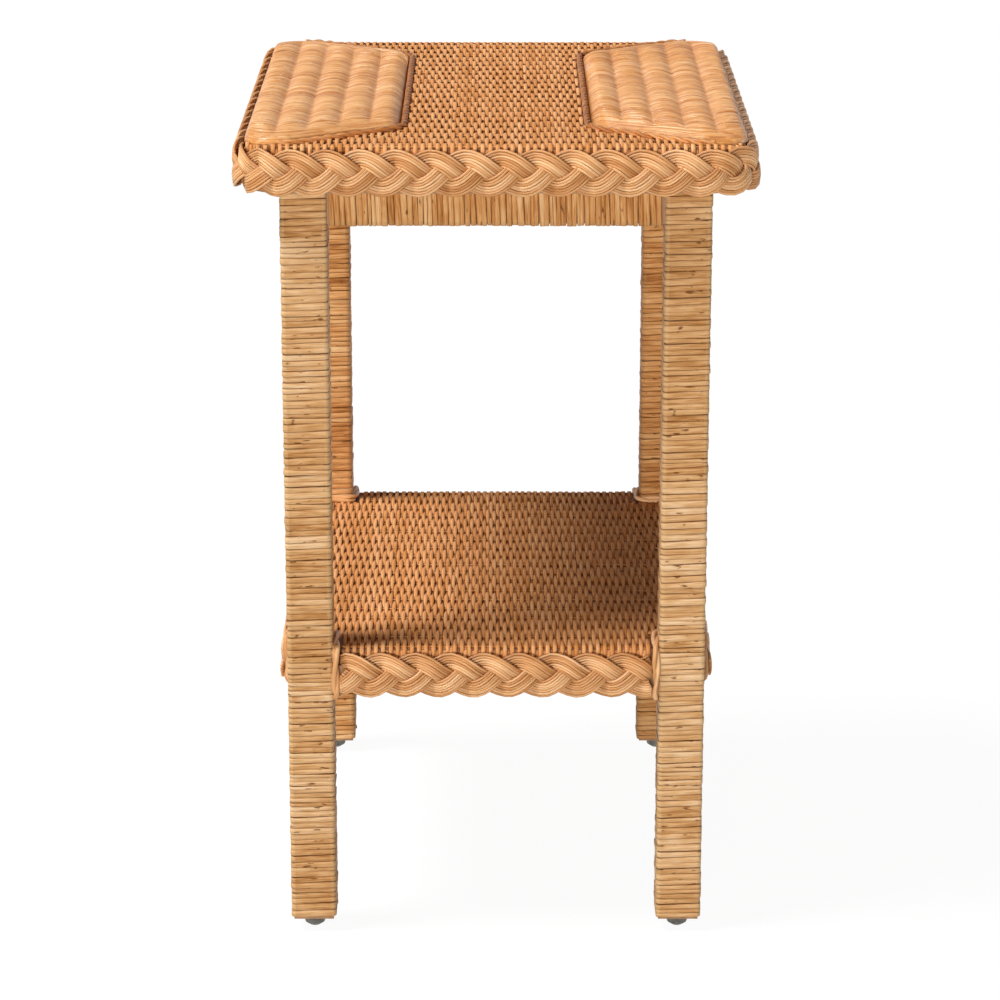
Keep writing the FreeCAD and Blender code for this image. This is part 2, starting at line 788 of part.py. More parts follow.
def rounded_path(points, radii):
    """Places and directions along straight runs through points, joined by arcs of the given radii."""
    stations = [(points[0], (points[1] - points[0]).normalize())]
    for before, point, after, radius in zip(points, points[1:], points[2:], radii):
        back = (before - point).normalize()
        ahead = (after - point).normalize()
        half_angle = back.getAngle(ahead) / 2
        first = point + back * (radius / math.tan(half_angle))
        centre = point + (back + ahead).normalize() * (radius / math.sin(half_angle))
        inward = (centre - first).normalize()
        for step in range(BEND_STEPS + 1):
            turn = (math.pi - 2 * half_angle) * step / BEND_STEPS
            place = centre - inward * (radius * math.cos(turn)) - back * (radius * math.sin(turn))
            stations.append((place, inward * math.sin(turn) - back * math.cos(turn)))
    stations.append((points[-1], (points[-1] - points[-2]).normalize()))
    return stations


def cord(label, points, radii, diameter, side):
    """An eight-sided cord along a rounded path; its volume is compared with section times length."""
    stations = rounded_path(points, radii)
    rings = []
    last = stations[0][1]
    for place, direction in stations:
        side = FreeCAD.Rotation(last, direction).multVec(side)
        over = direction.cross(side)
        turns = [2 * math.pi * (k + 0.5) / CORD_SIDES for k in range(CORD_SIDES)]
        rings.append([place + (side * math.cos(turn) + over * math.sin(turn)) * (diameter / 2)
                      for turn in turns])
        last = direction
    shape = faceted(rings)
    length = sum((far[0] - near[0]).Length for near, far in zip(stations, stations[1:]))
    section = CORD_SIDES * (diameter / 2) ** 2 * math.sin(2 * math.pi / CORD_SIDES) / 2
    share = shape.Volume / (section * length)
    print(f"{label}: length {length:.0f} mm, volume {share:.4f} of section times length")
    return shape


def border_cord(label, sign):
    """Twisted cord round the front, inner and back sides of a pad, on the board."""
    diameter = size("border_diameter")
    beside = gap + diameter / 2
    level = (panel_top + beside).number
    outer, shoulder, inner = pad_points(beside)
    end = (pad_out - size("pad_outer_corner"), outer[1])
    half = [(x.number, y.number) for x, y in (end, shoulder, inner)]
    plan = half + [(x, -y) for x, y in reversed(half)]
    points = [FreeCAD.Vector(sign * x, y, level) for x, y in plan]
    shoulder_bend = (size("pad_turn") + beside).number
    corner_bend = (size("pad_corner") + beside).number
    radii = [shoulder_bend, corner_bend, corner_bend, shoulder_bend]
    shape = cord(label, points, radii, diameter.number, FreeCAD.Vector(0, 0, 1))
    node(shape_piece(label + "_shape", shape), label)


pad_ribs = ribs()
cover_right = pad_cover()
node(pad_ribs, "pad_ribs_right")
node(mirrored("pad_ribs_left_copy", pad_ribs, FreeCAD.Vector(1, 0, 0)), "pad_ribs_left")
node(cover_right, "pad_cover_right")
node(mirrored("pad_cover_left_copy", cover_right, FreeCAD.Vector(1, 0, 0)), "pad_cover_left")
border_cord("pad_border_right", 1)
border_cord("pad_border_left", -1)


# Woven field of the top, bent down round the board's edge and open where the pads lie

def ribbed(name, field, half_x, half_y, pitch, level):
    """A woven field with valleys between its stakes, one of which runs across its middle."""
    half_width = (pitch - size("stake_crest")) / 2
    count = int(half_y.number / pitch.number)
    depth = size("weave_relief")
    valleys = [groove(f"{name}_valley_{i + count}", half_x, pitch * (i + 0.5), half_width, level, depth)
               for i in range(-count, count)]
    return cut(name, field, valleys)


window = pad_block("pad_window", size("border_diameter") + gap * 2, panel_top, size("top_height"), None)
window_left = mirrored("pad_window_left", window, FreeCAD.Vector(1, 0, 0))
field = rounded_block("field_form", mat_x, mat_y, size("top_corner"), panel_low, size("top_height"))
under = rounded_block("field_under", panel_x + gap, panel_y + gap, panel_corner + gap, panel_low, panel_top)
field = ribbed("field_ribs", field, mat_x, mat_y, size("top_stake_pitch"), size("top_height"))
node(cut("top_weave_cut", field, [under, window, window_left]), "top_weave")


# Shelf board and its weave, both notched round the legs

def notches(name, room, low, high):
    """Blocks that clear the four legs by some room."""
    return [box(f"{name}_{corner}", span(sx, leg_in_x - room, leg_x + wrap),
                span(sy, leg_in_y - room, leg_y + wrap), (low, high)) for corner, (sx, sy) in CORNERS.items()]


board_x = shelf_x - mat - gap
board_y = shelf_y - mat - gap
shelf_board = box("shelf_board", (-board_x, board_x), (-board_y, board_y), (shelf_low, shelf_top))
node(cut("shelf_panel_cut", shelf_board, notches("shelf_notch", gap, shelf_low, shelf_top)), "shelf_panel")

shelf_mat = box("shelf_mat", (-shelf_x, shelf_x), (-shelf_y, shelf_y), (shelf_low, size("shelf_height")))
shelf_under = box("shelf_under", (-shelf_x + mat, shelf_x - mat), (-shelf_y + mat, shelf_y - mat),
                  (shelf_low, shelf_top))
mat_notches = notches("mat_notch", tie_room, shelf_low, size("shelf_height"))
shelf_mat = ribbed("shelf_ribs", shelf_mat, shelf_x, shelf_y, size("shelf_stake_pitch"), size("shelf_height"))
node(cut("shelf_weave_cut", shelf_mat, [shelf_under] + mat_notches), "shelf_weave")


def corner_tie(corner):
    """Reed that comes up over the shelf's edge, round the leg and down over the next edge."""
    sx, sy = CORNERS[corner]
    beside_x = (leg_in_x - tie_off).number * sx
    beside_y = (leg_in_y - tie_off).number * sy
    out_x = (shelf_x + gap + tie / 2).number * sx
    out_y = (shelf_y + gap + tie / 2).number * sy
    level = (shelf_top + gap + tie / 2).number
    end = tie_end.number
    points = [FreeCAD.Vector(beside_x, out_y, end), FreeCAD.Vector(beside_x, out_y, level),
              FreeCAD.Vector(beside_x, beside_y, level), FreeCAD.Vector(out_x, beside_y, level),
              FreeCAD.Vector(out_x, beside_y, end)]
    label = f"shelf_tie_{corner}"
    shape = cord(label, points, [size("tie_bend").number] * 3, tie.number, FreeCAD.Vector(1, 0, 0))
    node(shape_piece(label + "_shape", shape), label)


for corner in CORNERS:
    corner_tie(corner)


# Plaited edges: three flat strands that pass over and under each other

def loop_path(half_x, half_y, radius):
    """Point and outward direction along a rounded rectangle, from the middle of its back, and its length."""
    run_x, run_y = half_x - radius, half_y - radius
    arc = math.pi / 2 * radius
    runs = [(run_x, "line"), (arc, "arc"), (2 * run_y, "line"), (arc, "arc"),
            (2 * run_x, "line"), (arc, "arc"), (2 * run_y, "line"), (arc, "arc"), (run_x, "line")]
    total = sum(length for length, kind in runs)

    def place(distance):
        at = FreeCAD.Vector(0, half_y, 0)
        angle = 0.0
        rest = min(max(distance, 0.0), total)
        for length, kind in runs:
            ahead = FreeCAD.Vector(math.cos(angle), math.sin(angle), 0)
            out = FreeCAD.Vector(-ahead.y, ahead.x, 0)
            step = min(rest, length)
            if kind == "line":
                at = at + ahead * step
            else:
                turn = step / radius
                centre = at - out * radius
                out = out * math.cos(turn) + ahead * math.sin(turn)
                at = centre + out * radius
                angle -= turn
            rest -= step
            if rest <= 0:
                break
        return at, out

    return place, total


def line_path(start, end, out):
    """Point and outward direction along a straight edge, and its length."""
    ahead = (end - start).normalize()
    total = (end - start).Length
    return (lambda distance: (start + ahead * distance, out)), total


def over_under(phase):
    """In and out travel of a strand: it stays near the front or the back and changes over quickly."""
    return math.tanh(FIRMNESS * math.sin(2 * phase)) / math.tanh(FIRMNESS)


def strand_rings(place, total, level, number):
    """Four-cornered sections of one strand along a plait."""
    rise = size("plait_rise").number
    depth = size("plait_depth").number
    half_width = size("strand_width").number / 2
    half_thick = size("strand_thickness").number / 2
    periods = max(1, round(total / size("plait_period").number))
    wave = 2 * math.pi * periods / total
    count = periods * STATIONS
    first = half_width
    step = (total - 2 * first) / count
    rings = []
    for i in range(count + 1):
        along = first + i * step
        phase = wave * along + 2 * math.pi * number / STRANDS
        slope = rise * wave * math.cos(phase)
        norm = math.hypot(1, slope)
        ring = []
        for side, face in ((-1, -1), (-1, 1), (1, 1), (1, -1)):
            at, out = place(along - side * half_width * slope / norm)
            height = level + rise * math.sin(phase) + side * half_width / norm
            reach = depth * over_under(phase) + face * half_thick
            ring.append(at + out * reach + FreeCAD.Vector(0, 0, height))
        rings.append(ring)
    return rings


def plait(place, total, level):
    strands = []
    for number in range(STRANDS):
        rings = strand_rings(place, total, level, number)
        strands.append(faceted(rings))
    gaps = [a.distToShape(b)[0] for a, b in ((strands[0], strands[1]), (strands[1], strands[2]))]
    return strands, min(gaps)


off = plait_middle.number
top_path, top_length = loop_path(mat_x.number + off, mat_y.number + off, size("top_corner").number + off)
top_strands, top_least = plait(top_path, top_length, (size("top_height") - size("plait_drop")).number)
print(f"top_braid: length {top_length:.0f} mm, least gap between strands {top_least:.2f} mm")
for letter, strand in zip("abc", top_strands):
    node(shape_piece(f"top_strand_{letter}", strand), f"top_braid_strand_{letter}")

end_x = (leg_in_x - tie_room).number
end_y = (leg_in_y - tie_room).number
out_x = shelf_x.number + off
out_y = shelf_y.number + off
SHELF_EDGES = {
    "front": ((end_x, -out_y), (-end_x, -out_y), (0, -1)),
    "right": ((out_x, end_y), (out_x, -end_y), (1, 0)),
    "back": ((-end_x, out_y), (end_x, out_y), (0, 1)),
    "left": ((-out_x, -end_y), (-out_x, end_y), (-1, 0)),
}
for side, (start, end, out) in SHELF_EDGES.items():
    path, length = line_path(FreeCAD.Vector(*start, 0), FreeCAD.Vector(*end, 0), FreeCAD.Vector(*out, 0))
    strands, least = plait(path, length, (size("shelf_height") - size("shelf_plait_drop")).number)
    print(f"shelf_braid_{side}: length {length:.0f} mm, least gap between strands {least:.2f} mm")
    node(shape_piece(f"shelf_plait_{side}", Part.makeCompound(strands)), f"shelf_braid_{side}")


# Check everything, then write one file for each sub-part

doc.recompute()
faults = [item.Name for item in doc.Objects if {"Invalid", "Error"} & set(item.State)]
faults += [item.Label for item in nodes if item.Shape.isNull() or not item.Shape.isValid()]
faults += [item.Label for item in nodes if not item.Shape.Solids]
if faults:
    raise RuntimeError("these pieces failed: " + ", ".join(faults))

os.makedirs("parts", exist_ok=True)
for item in nodes:
    item.Shape.exportStep(f"parts/{item.Label}.step")
print(f"{len(nodes)} sub-parts written")
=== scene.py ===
import bpy
import math
import numpy as np
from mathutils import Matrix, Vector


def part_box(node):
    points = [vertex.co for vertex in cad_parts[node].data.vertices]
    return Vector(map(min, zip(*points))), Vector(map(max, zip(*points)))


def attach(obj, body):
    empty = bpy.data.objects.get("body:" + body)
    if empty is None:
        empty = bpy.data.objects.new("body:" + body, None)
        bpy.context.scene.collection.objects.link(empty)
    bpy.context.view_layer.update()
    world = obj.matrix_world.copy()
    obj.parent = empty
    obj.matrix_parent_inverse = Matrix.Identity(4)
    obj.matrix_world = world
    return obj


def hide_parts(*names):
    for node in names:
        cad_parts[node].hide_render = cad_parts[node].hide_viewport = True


# Rattan side table. Shapes are worked out in millimetres from the frame and put into meshes in metres.

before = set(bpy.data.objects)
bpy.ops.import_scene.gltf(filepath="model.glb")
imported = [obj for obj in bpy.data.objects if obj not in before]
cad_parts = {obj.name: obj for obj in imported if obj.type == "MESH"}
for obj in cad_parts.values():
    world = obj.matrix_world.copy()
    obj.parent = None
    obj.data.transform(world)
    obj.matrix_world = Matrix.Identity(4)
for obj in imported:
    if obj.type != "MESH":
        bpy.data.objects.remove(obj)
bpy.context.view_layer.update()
rng = np.random.default_rng(11)
MM = 0.001
CORNERS = {"front_left": (-1, -1), "front_right": (1, -1), "back_left": (-1, 1), "back_right": (1, 1)}
PATTERN_STEP = 173.0        # millimetres by which the pattern of one reed is moved against the next

# Peel wound round the legs and aprons, in millimetres
PEEL_PITCH = 4.3            # one turn on a leg to the next
PEEL_PITCH_APRON = 3.8      # one turn on an apron to the next
PEEL_UNEVEN = 0.26          # share by which turns differ in width
PEEL_COVER = 0.985          # share of its pitch that a turn covers
PEEL_WAVER = 0.2            # lift and slant of a turn from quarter to quarter
PEEL_CORNER = 1.0           # rounding at a bar's corner
PEEL_CORNER_STEPS = 4       # points in that rounding
PEEL_FLAT_PLACES = [0.0, 0.03, 0.5, 0.97]       # shares of a flat side at which it has a point
PEEL_LENGTHS = (8, 36)      # turns of one length of peel: at least the first, fewer than the second
PEEL_TONES = (0.38, 0.7)
PEEL_TONE_WAVER = 0.2       # from turn to turn
# Section of a strip of peel, for a width and a thickness of one: flat below, bowed above, with worn edges
PEEL_SECTION = np.array([(-0.5, 0.0), (0.5, 0.0), (0.5, 0.76), (0.42, 0.96), (0.0, 1.0), (-0.42, 0.96),
                         (-0.5, 0.76)])

# Woven fields: reeds that run front to back, over and under stakes that run left to right
REED_PITCH = 2.66           # one reed to the next
REED_RISE = 1.15            # from a reed's middle to its top
REED_SPREAD = 0.18          # share by which a reed is wider over a stake and narrower under one
REED_UNEVEN = 0.1           # share of a stake's pitch by which a reed's crossings are off
REED_UNEVEN_WAVES = (23.0, 37.0)    # millimetres to a radian of its slow waves, across and along a mat
REED_DRIFT = 0.12           # of a whole reed to the side
REED_SWAY = 0.1             # of a reed to one side and the other along its run
REED_SWAY_WAVE = 31.0       # millimetres to a radian
REED_SWAY_STARTS = 9.0      # radians: more than a turn, so that a reed starts anywhere in its wave
REED_TONES = (0.25, 0.7)
REED_DIVE_SHADE_POWER = 12              # power that keeps the painted shade to the lowest part of a reed's dive
# Section of a reed, for half a width and a rise of one: its neighbours press it flat at the sides, and below,
# where it isn't seen, it is cut off at half its rise
REED_SECTION = np.array([(1.0, -0.5), (1.0, 0.4), (0.5, 1.0), (-0.5, 1.0), (-1.0, 0.4), (-1.0, -0.5)])
STAKE_TOP = 19.5            # one stake of the top to the next
STAKE_SHELF = 21.8
STAKE_RADIUS = 0.8
STAKE_WIDER = 1.2           # a stake is an oval, wider than high
# painted shade on the stakes, which lie under the reeds
STAKE_SHADE = 0.35
WEAVE_TRAVEL = 0.55 * (STAKE_RADIUS + REED_RISE)    # of a reed up or down at a stake
WEAVE_CROWN = WEAVE_TRAVEL + REED_RISE              # highest point above the stakes' middle
WEAVE_RIM = 3.5             # bend of the weave over the front and back edges
EDGE_REED = 1.3             # half the pitch of the reeds along a mat's edge
EDGE_REED_RADIUS = 1.43     # a little more than that, so that they press on one another
EDGE_TOP_ROOM = 7.8         # height below the top's surface that these reeds leave free
EDGE_TONES = (0.2, 0.7)
# painted shade on the reeds along a mat's edge, behind the plait
EDGE_SHADE = 0.1
TOP_CORNER = 33.0           # plan radius of the top's corners
TOP_SIDE_ROOM = 2.0         # width at each side of the mat that its reeds leave free
SHELF_SIDE_ROOM = 1.0
SHELF_STAKE_ROOM = 2.0      # from a stake's end to the mat's side
SHELF_EDGE_INSET = 1.56     # middle of the edge reeds from the mat's side
PAD_STAKE_ROOM = 1.0        # from a stake's end to a pad's border
PAD_REED_ROOM = 0.5         # from a whole reed's middle to a pad's border
SHORT_REED = 1.4            # a reed before a pad ends at least this far inside the mat's half depth
TOP_STEPS = 180             # points along a whole reed of the top
TOP_END_STEPS = 34          # along a short one
SHELF_STEPS = 135           # along a whole reed of the shelf
SHELF_SIDE_STEPS = 110      # along one beside the legs
EDGE_POINTS = (12, 30)      # of the top's edge reeds, in a corner and on a side
SHELF_EDGE_POINTS = 40

# Plait
STRANDS = 3
PLAIT_REEDS = 7             # reeds side by side in one strand
PLAIT_REED_PITCH = 1.9      # one reed to the next
PLAIT_REED_RADIUS = 1.0925  # a little over half the pitch, so that the reeds press on one another
PLAIT_PERIOD = 75.0         # about one wave of a strand; an edge has a whole number of them
PLAIT_STEPS = 18            # points of a reed in one period
PLAIT_EDGE_POINTS = (24, 60)    # of the line that the top's plait follows, in a corner and on a side
PLAIT_FIRMNESS = 1.5        # how quickly a strand changes between the plait's front and back
PLAIT_TUCK = 0.8            # share of its depth by which an upper bend is tucked in
PLAIT_CROWN = 0.7           # middle reeds of a strand stand out by this
PLAIT_WAVER = 0.18          # of a reed beside its neighbours
PLAIT_WAVER_STARTS = 6.0    # radians: nearly a turn

# Pads
PAD_RIBS = 5
PAD_REED_PITCH = 3.2        # drawn coarser than the real reed, which is too fine to see
PAD_REED_STEPS = 8          # points across one reed
PAD_COLUMNS = 80            # points along one reed
PAD_REED_ARC = 1.2          # height of the small arc over one reed
PAD_REED_ROUND = 1.9        # how full that arc is: 2 would be a half circle
PAD_REED_SINK = 0.8         # share of that arc that lies below the pad's own height
PAD_TOP_ROOM = 0.8          # from the ribs to the pad's highest point, for the reeds
PAD_REED_UNEVEN = 0.25      # by which a reed lies higher or lower
PAD_REED_STARTS = 40.0      # radians for each millimetre of that, so that reeds wander apart
PAD_REED_GROWTH = 3.0       # reeds stand out fully from a third of the rounding at the outline
PAD_BUNDLE = 6.0            # width of a bundle of reeds that lie alike
PAD_BUNDLES = 60            # on each side of the middle, more than a pad has room for
PAD_BUNDLE_UNEVEN = 0.2
# The bundles' two waves: share of a bundle's width, millimetres to a radian, start in radians
PAD_WAVES = ((0.5, 13.0, 0.0), (0.35, 5.7, 2.0))
PAD_WANDER = 0.35           # of a reed to the side
PAD_WANDER_WAVE = 17.0      # millimetres to a radian
PAD_TONE = 0.55             # of the pad
PAD_TONES = (-0.25, 0.25)   # of a reed, from the pad's own
PAD_BUNDLE_TONE = 0.12      # of a bundle that lies higher
PAD_DARK_REEDS = 0.3        # share of the reeds that have dark stretches
PAD_DARK_TONE = 0.35        # by which those are darker
PAD_DARK_WAVE = 9.0         # millimetres to a radian, from one stretch to the next
PAD_RIM_SHADE = 0.55        # painted shade at the outline
PAD_VALLEY_SHADE = 0.4      # painted shade between two ribs
PAD_SHOULDER = 31.5         # width of a pad that has its full length
PAD_INNER = 152.0           # half of a pad's inner side, to the points of its cut corners
PAD_CORNER = 28.0           # radius of the inner corners
PAD_TURN = 15.0             # radius of the shoulders
PAD_OUTER_CORNER = 22.0
PAD_CORNER_POINTS = 24      # in each rounding of a pad's outline
PAD_SETBACK = 0.4           # outer side of a pad from the mat's edge
PAD_FLUTE = 3.2             # valley between two ribs
PAD_FLUTE_POWER = 2.2       # makes the ribs round and the valleys narrow
PAD_FADE = 45.0             # length at each end in which the ribs fade
PAD_END_HEIGHT = 4.0        # of the cover at its ends, from where it rises to the ribs' full height
PAD_END_SLOPE = 30.0        # length of that rise
PAD_BLEND = 0.8             # softness of the bend between the rise and the ribs
PAD_DRAW_END = 4.0          # width of the rounding down to the board, at the ends
PAD_DRAW_SIDE = 11.0        # the same at the inner side
PAD_DRAW_OUTER = 5.0        # the same at the outer side
PAD_LEAST = 0.25            # least height of the cover, at its outline

# Cords and ties, each of two reeds twisted together
CORD_TWIST = 22.0           # one twist of a pad's border cord
CORD_STEP = 1.6             # one point of its line to the next
CORD_REED = 0.58            # radius of one reed, as a share of the cord's
CORD_PAST_SHOULDER = 1.0    # cord's bends past the pad's own
CORD_PAST_CORNER = 1.2
CORD_TONES = (0.2, 0.8)     # at the inner side and at the ends
CORD_TONE_RUN = 60.0        # width over which one changes to the other
TIE_BEND = 6.0              # radius of a tie's bends
TIE_END = 14.0              # length of a tie's end under the shelf
TIE_TWIST = 60.0            # one twist of a tie
TIE_STEP = 2.0
TIE_REED = 0.66
TIE_ROOM = 0.6              # between a tie and the shelf's weave
PLY_OFFSET = 0.5            # middle of a reed from the cord's middle, as a share of the cord's radius


def room(*nodes):
    """Lowest and highest corner, in millimetres, of the box round some CAD nodes."""
    boxes = np.array([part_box(name) for name in nodes]) / MM
    return boxes[:, 0].min(axis=0), boxes[:, 1].max(axis=0)


def unit(vectors):
    """The same directions with a length of one."""
    return vectors / np.linalg.norm(vectors, axis=-1, keepdims=True)


def upright(plan, z):
    """Points or directions in plan with one more column, their height."""
    return np.concatenate([plan, np.broadcast_to(z, plan.shape[:-1])[..., None]], axis=-1)


def distance_along(line):
    """Length of a line from its first point to each of its points."""
    steps = np.linalg.norm(np.diff(line, axis=-2), axis=-1).cumsum(axis=-1)
    return np.concatenate([np.zeros(steps.shape[:-1] + (1,)), steps], axis=-1)


def between(places, known, rows):
    """Rows of points read off between known places."""
    return np.stack([np.interp(places, known, column) for column in rows.T], axis=-1)


# Surfaces

def sweep(paths, side, over, profile, tone, closed=False, shade=0.0):
    """Bars with one profile: each point is path + side * across + over * up, for every corner of the profile.

    Paths are (bars, steps, 3). Open bars are capped at both ends, closed ones run back into themselves.
    Each point also knows its place along and across its bar, its bar's tone and its share of painted shade,
    which on the peel is a painted highlight.
    """
    bars, steps = paths.shape[:2]
    across, up = profile[:, 0], profile[:, 1]
    corners = len(profile)
    points = paths[:, :, None] + side[:, :, None] * across[:, None] + over[:, :, None] * up[:, None]
    index = np.arange(bars * steps * corners).reshape(bars, steps, corners)
    turned = np.roll(index, -1, axis=2)
    if closed:
        ahead, turned_ahead = np.roll(index, -1, axis=1), np.roll(turned, -1, axis=1)
        faces = [np.stack([index, turned, turned_ahead, ahead], axis=-1).reshape(-1, 4)]
    else:
        quads = np.stack([index[:, :-1], turned[:, :-1], turned[:, 1:], index[:, 1:]], axis=-1)
        faces = [quads.reshape(-1, 4), index[:, 0, ::-1], index[:, -1]]
    along = distance_along(paths) + PATTERN_STEP * np.arange(bars)[:, None]
    like = np.ones((bars, steps, corners))
    return {
        "points": points.reshape(-1, 3),
        "faces": faces,
        "along": (along[:, :, None] * like).ravel(),
        "across": (across / np.abs(across).max() * like).ravel(),
        "tone": (np.reshape(tone, (bars, -1, 1)) * like).ravel(),
        "shade": (np.reshape(shade, np.shape(shade) + (1,) * (3 - np.ndim(shade))) * like).ravel(),
    }


def oval(wide, high, corners=6):
    """Corners of an ellipse."""
    turn = 2 * np.pi * (np.arange(corners) + 0.5) / corners
    return np.stack([wide * np.cos(turn), high * np.sin(turn)], axis=1)


def squared(paths, lean):
    """Two directions square to each path: the part of lean that is square to it, and one square to both."""
    lean = np.broadcast_to(np.asarray(lean, float), paths.shape)
    ahead = unit(np.gradient(paths, axis=1))
    side = unit(lean - ahead * (lean * ahead).sum(axis=-1, keepdims=True))
    return side, np.cross(ahead, side)


def rounded_outline(half_x, half_y, radius, arc_steps, flat_places):
    """A rounded rectangle, counter-clockwise: four arcs joined by straight runs, with outward directions.

    Flat places are shares of a straight run, from 0 at its start, at which it has a point.
    """
    quarter = np.linspace(0, np.pi / 2, arc_steps)
    turns = np.concatenate([quarter + k * np.pi / 2 for k in range(4)])
    signs = np.repeat([(1, 1), (-1, 1), (-1, -1), (1, -1)], arc_steps, axis=0)
    out = np.stack([np.cos(turns), np.sin(turns)], axis=1)
    points = signs * (half_x - radius, half_y - radius) + radius * out
    points, out = np.concatenate([points, points[:1]]), np.concatenate([out, out[:1]])
    parts = [flat_places if (i + 1) % arc_steps == 0 else [0.0] for i in range(len(points) - 1)]
    places = np.concatenate([i + np.asarray(part) for i, part in enumerate(parts)])
    numbers = np.arange(len(points))
    return between(places, numbers, points), unit(between(places, numbers, out))


def winding(axis, middle, halves, low, high, pitch, thickness):
    """A strip of peel wound round a rectangular bar as a helix.

    A point is the bar's rounded outline at the turn's angle, raised by the turns so far times the pitch.
    The pitch, the width, the slant and the lift of each turn waver a little, as hand winding does. A painted
    highlight, carried in the shade attribute, marks the bar's corners.
    """
    outline, out = rounded_outline(*halves, PEEL_CORNER, PEEL_CORNER_STEPS, PEEL_FLAT_PLACES)
    steps = len(outline)
    lengths = distance_along(np.concatenate([outline, outline[:1]]))
    turns = int(round((high - low) / pitch)) - 1
    waver = 1 + PEEL_UNEVEN * rng.standard_normal(turns + 1).clip(-2, 2)
    width = waver / waver.sum() * (high - low)
    level = low + width.cumsum() - width / 2
    at = np.append((np.arange(turns)[:, None] + lengths[:-1] / lengths[-1]).ravel(), turns)
    which = np.arange(at.size) % steps
    count = np.arange(turns + 1)
    quarters = np.arange(4 * turns + 1) / 4
    lift, slant = [np.interp(at, quarters, PEEL_WAVER * rng.standard_normal(quarters.size)) for _ in range(2)]
    paths = upright(middle + outline[which] + out[which] * lift[:, None], np.interp(at, count, level) + slant)
    over = upright(out[which], 0.0)
    side = np.outer(np.interp(at, count, width) * PEEL_COVER, (0, 0, 1))
    order = {"z": [0, 1, 2], "x": [2, 0, 1], "y": [1, 2, 0]}[axis]
    tones = np.interp(at, count, peel_tones(turns + 1))
    # painted highlight: points on the bar's rounded corners get the peel's pale corner colour
    corner = (which % (steps // 4) < PEEL_CORNER_STEPS).astype(float)
    return sweep(paths[None, :, order], side[None, :, order], over[None, :, order],
                 PEEL_SECTION * (1, thickness), tones[None], shade=corner[None])


def peel_tones(turns):
    """Tone of each turn: lengths of peel that differ, with single darker and lighter turns."""
    lengths = rng.integers(*PEEL_LENGTHS, turns)
    base = np.repeat(rng.uniform(*PEEL_TONES, turns), lengths)[:turns]
    return (base + PEEL_TONE_WAVER * rng.standard_normal(turns)).clip(0, 1)


def rim_profile(distance, half, low, top):
    """Height of the weave from its front edge to its back edge: up, round, across, round and down again.

    Distance runs along the weave. Returns places along Y, heights, and the outward direction's two parts.
    """
    bend = WEAVE_RIM
    rise = top - bend - low
    arc = np.pi / 2 * bend
    flat = 2 * (half - bend)
    first = np.clip((distance - rise) / bend, 0, np.pi / 2)
    across = np.clip(distance - rise - arc, 0, flat)
    second = np.clip((distance - rise - arc - flat) / bend, 0, np.pi / 2)
    up = np.clip(distance, 0, rise)
    down = np.clip(distance - rise - 2 * arc - flat, 0, rise)
    y = -half + bend * (1 - np.cos(first)) + across + bend * np.sin(second)
    z = low + up + bend * np.sin(first) - bend * (1 - np.cos(second)) - down
    return y, z, -np.cos(first) + np.sin(second), np.sin(first) * np.cos(second)


def rim_length(half, low, top):
    """Length of the weave along that profile."""
    return 2 * (top - WEAVE_RIM - low) + np.pi * WEAVE_RIM + 2 * (half - WEAVE_RIM)


def weavers(mat, chosen, start, end, steps):
    """The chosen reeds of a mat, which run front to back over and under its stakes.

    Each lies on the rim profile and moves square to it by a cosine of the distance from the middle, whose
    half wave is one stake; neighbours are about half a wave apart. A reed spreads where it lies over a stake
    and is pinched where it dives under one, where painted shade darkens it.
    """
    columns = (mat["x"], mat["number"], mat["half"], start, end)
    x, number, half, start, end = [column[chosen, None] for column in columns]
    middle = rim_length(half, mat["low"], mat["level"]) / 2
    distance = start + (end - start) * np.linspace(0, 1, steps)
    y, z, out_y, out_z = rim_profile(distance, half, mat["low"], mat["level"])
    wave = np.sin(x / REED_UNEVEN_WAVES[0] + distance / REED_UNEVEN_WAVES[1])
    uneven = REED_UNEVEN * (rng.standard_normal(x.shape) + wave)
    swing = np.cos(np.pi * ((distance - middle) / mat["stake"] + number + uneven))
    travel = WEAVE_TRAVEL * np.tanh(swing) / np.tanh(1.0)
    drift = REED_DRIFT * rng.standard_normal(x.shape)
    sway = REED_SWAY * np.sin(distance / REED_SWAY_WAVE + REED_SWAY_STARTS * rng.random(x.shape))
    paths = np.stack([x + drift + sway, y + out_y * travel, z + out_z * travel], axis=-1)
    side, over = squared(paths, (1, 0, 0))
    spread = (1 + REED_SPREAD * swing)[..., None]
    dive_shade = np.clip(-swing, 0, 1) ** REED_DIVE_SHADE_POWER
    section = REED_SECTION * (REED_PITCH / 2, REED_RISE)
    return sweep(paths, side * spread, over, section, rng.uniform(*REED_TONES, len(x)), shade=dive_shade)


def stakes(y, reach, z):
    """Straight rods across the weave, from left to right."""
    level = np.full(len(y), z)
    paths = np.stack([np.stack([end, y, level], axis=-1) for end in (-reach, reach)], axis=1)
    side, over = squared(paths, (0, 1, 0))
    section = oval(STAKE_RADIUS * STAKE_WIDER, STAKE_RADIUS)
    return sweep(paths, side, over, section, rng.random(len(y)), shade=STAKE_SHADE)


def edge_reeds(line, closed, low, top):
    """Straight or bent reeds stacked on one another along a mat's edge, behind the plait."""
    levels = np.arange(low + EDGE_REED, top - EDGE_REED, 2 * EDGE_REED)
    paths = np.stack([upright(line, level) for level in levels])
    side, over = squared(paths, (0, 0, 1))
    section = oval(EDGE_REED_RADIUS, EDGE_REED_RADIUS, 8)
    return sweep(paths, side, over, section, rng.uniform(*EDGE_TONES, len(levels)), closed, EDGE_SHADE)


def on_edge(edge, distance):
    """Place and outward direction along an edge, an outline of points and directions, by its length."""
    points, out, closed = edge
    if closed:
        points, out = np.concatenate([points, points[:1]]), np.concatenate([out, out[:1]])
    length = distance_along(points)
    distance = np.mod(distance, length[-1]) if closed else np.clip(distance, 0, length[-1])
    return between(distance, length, points), unit(between(distance, length, out)), length[-1]


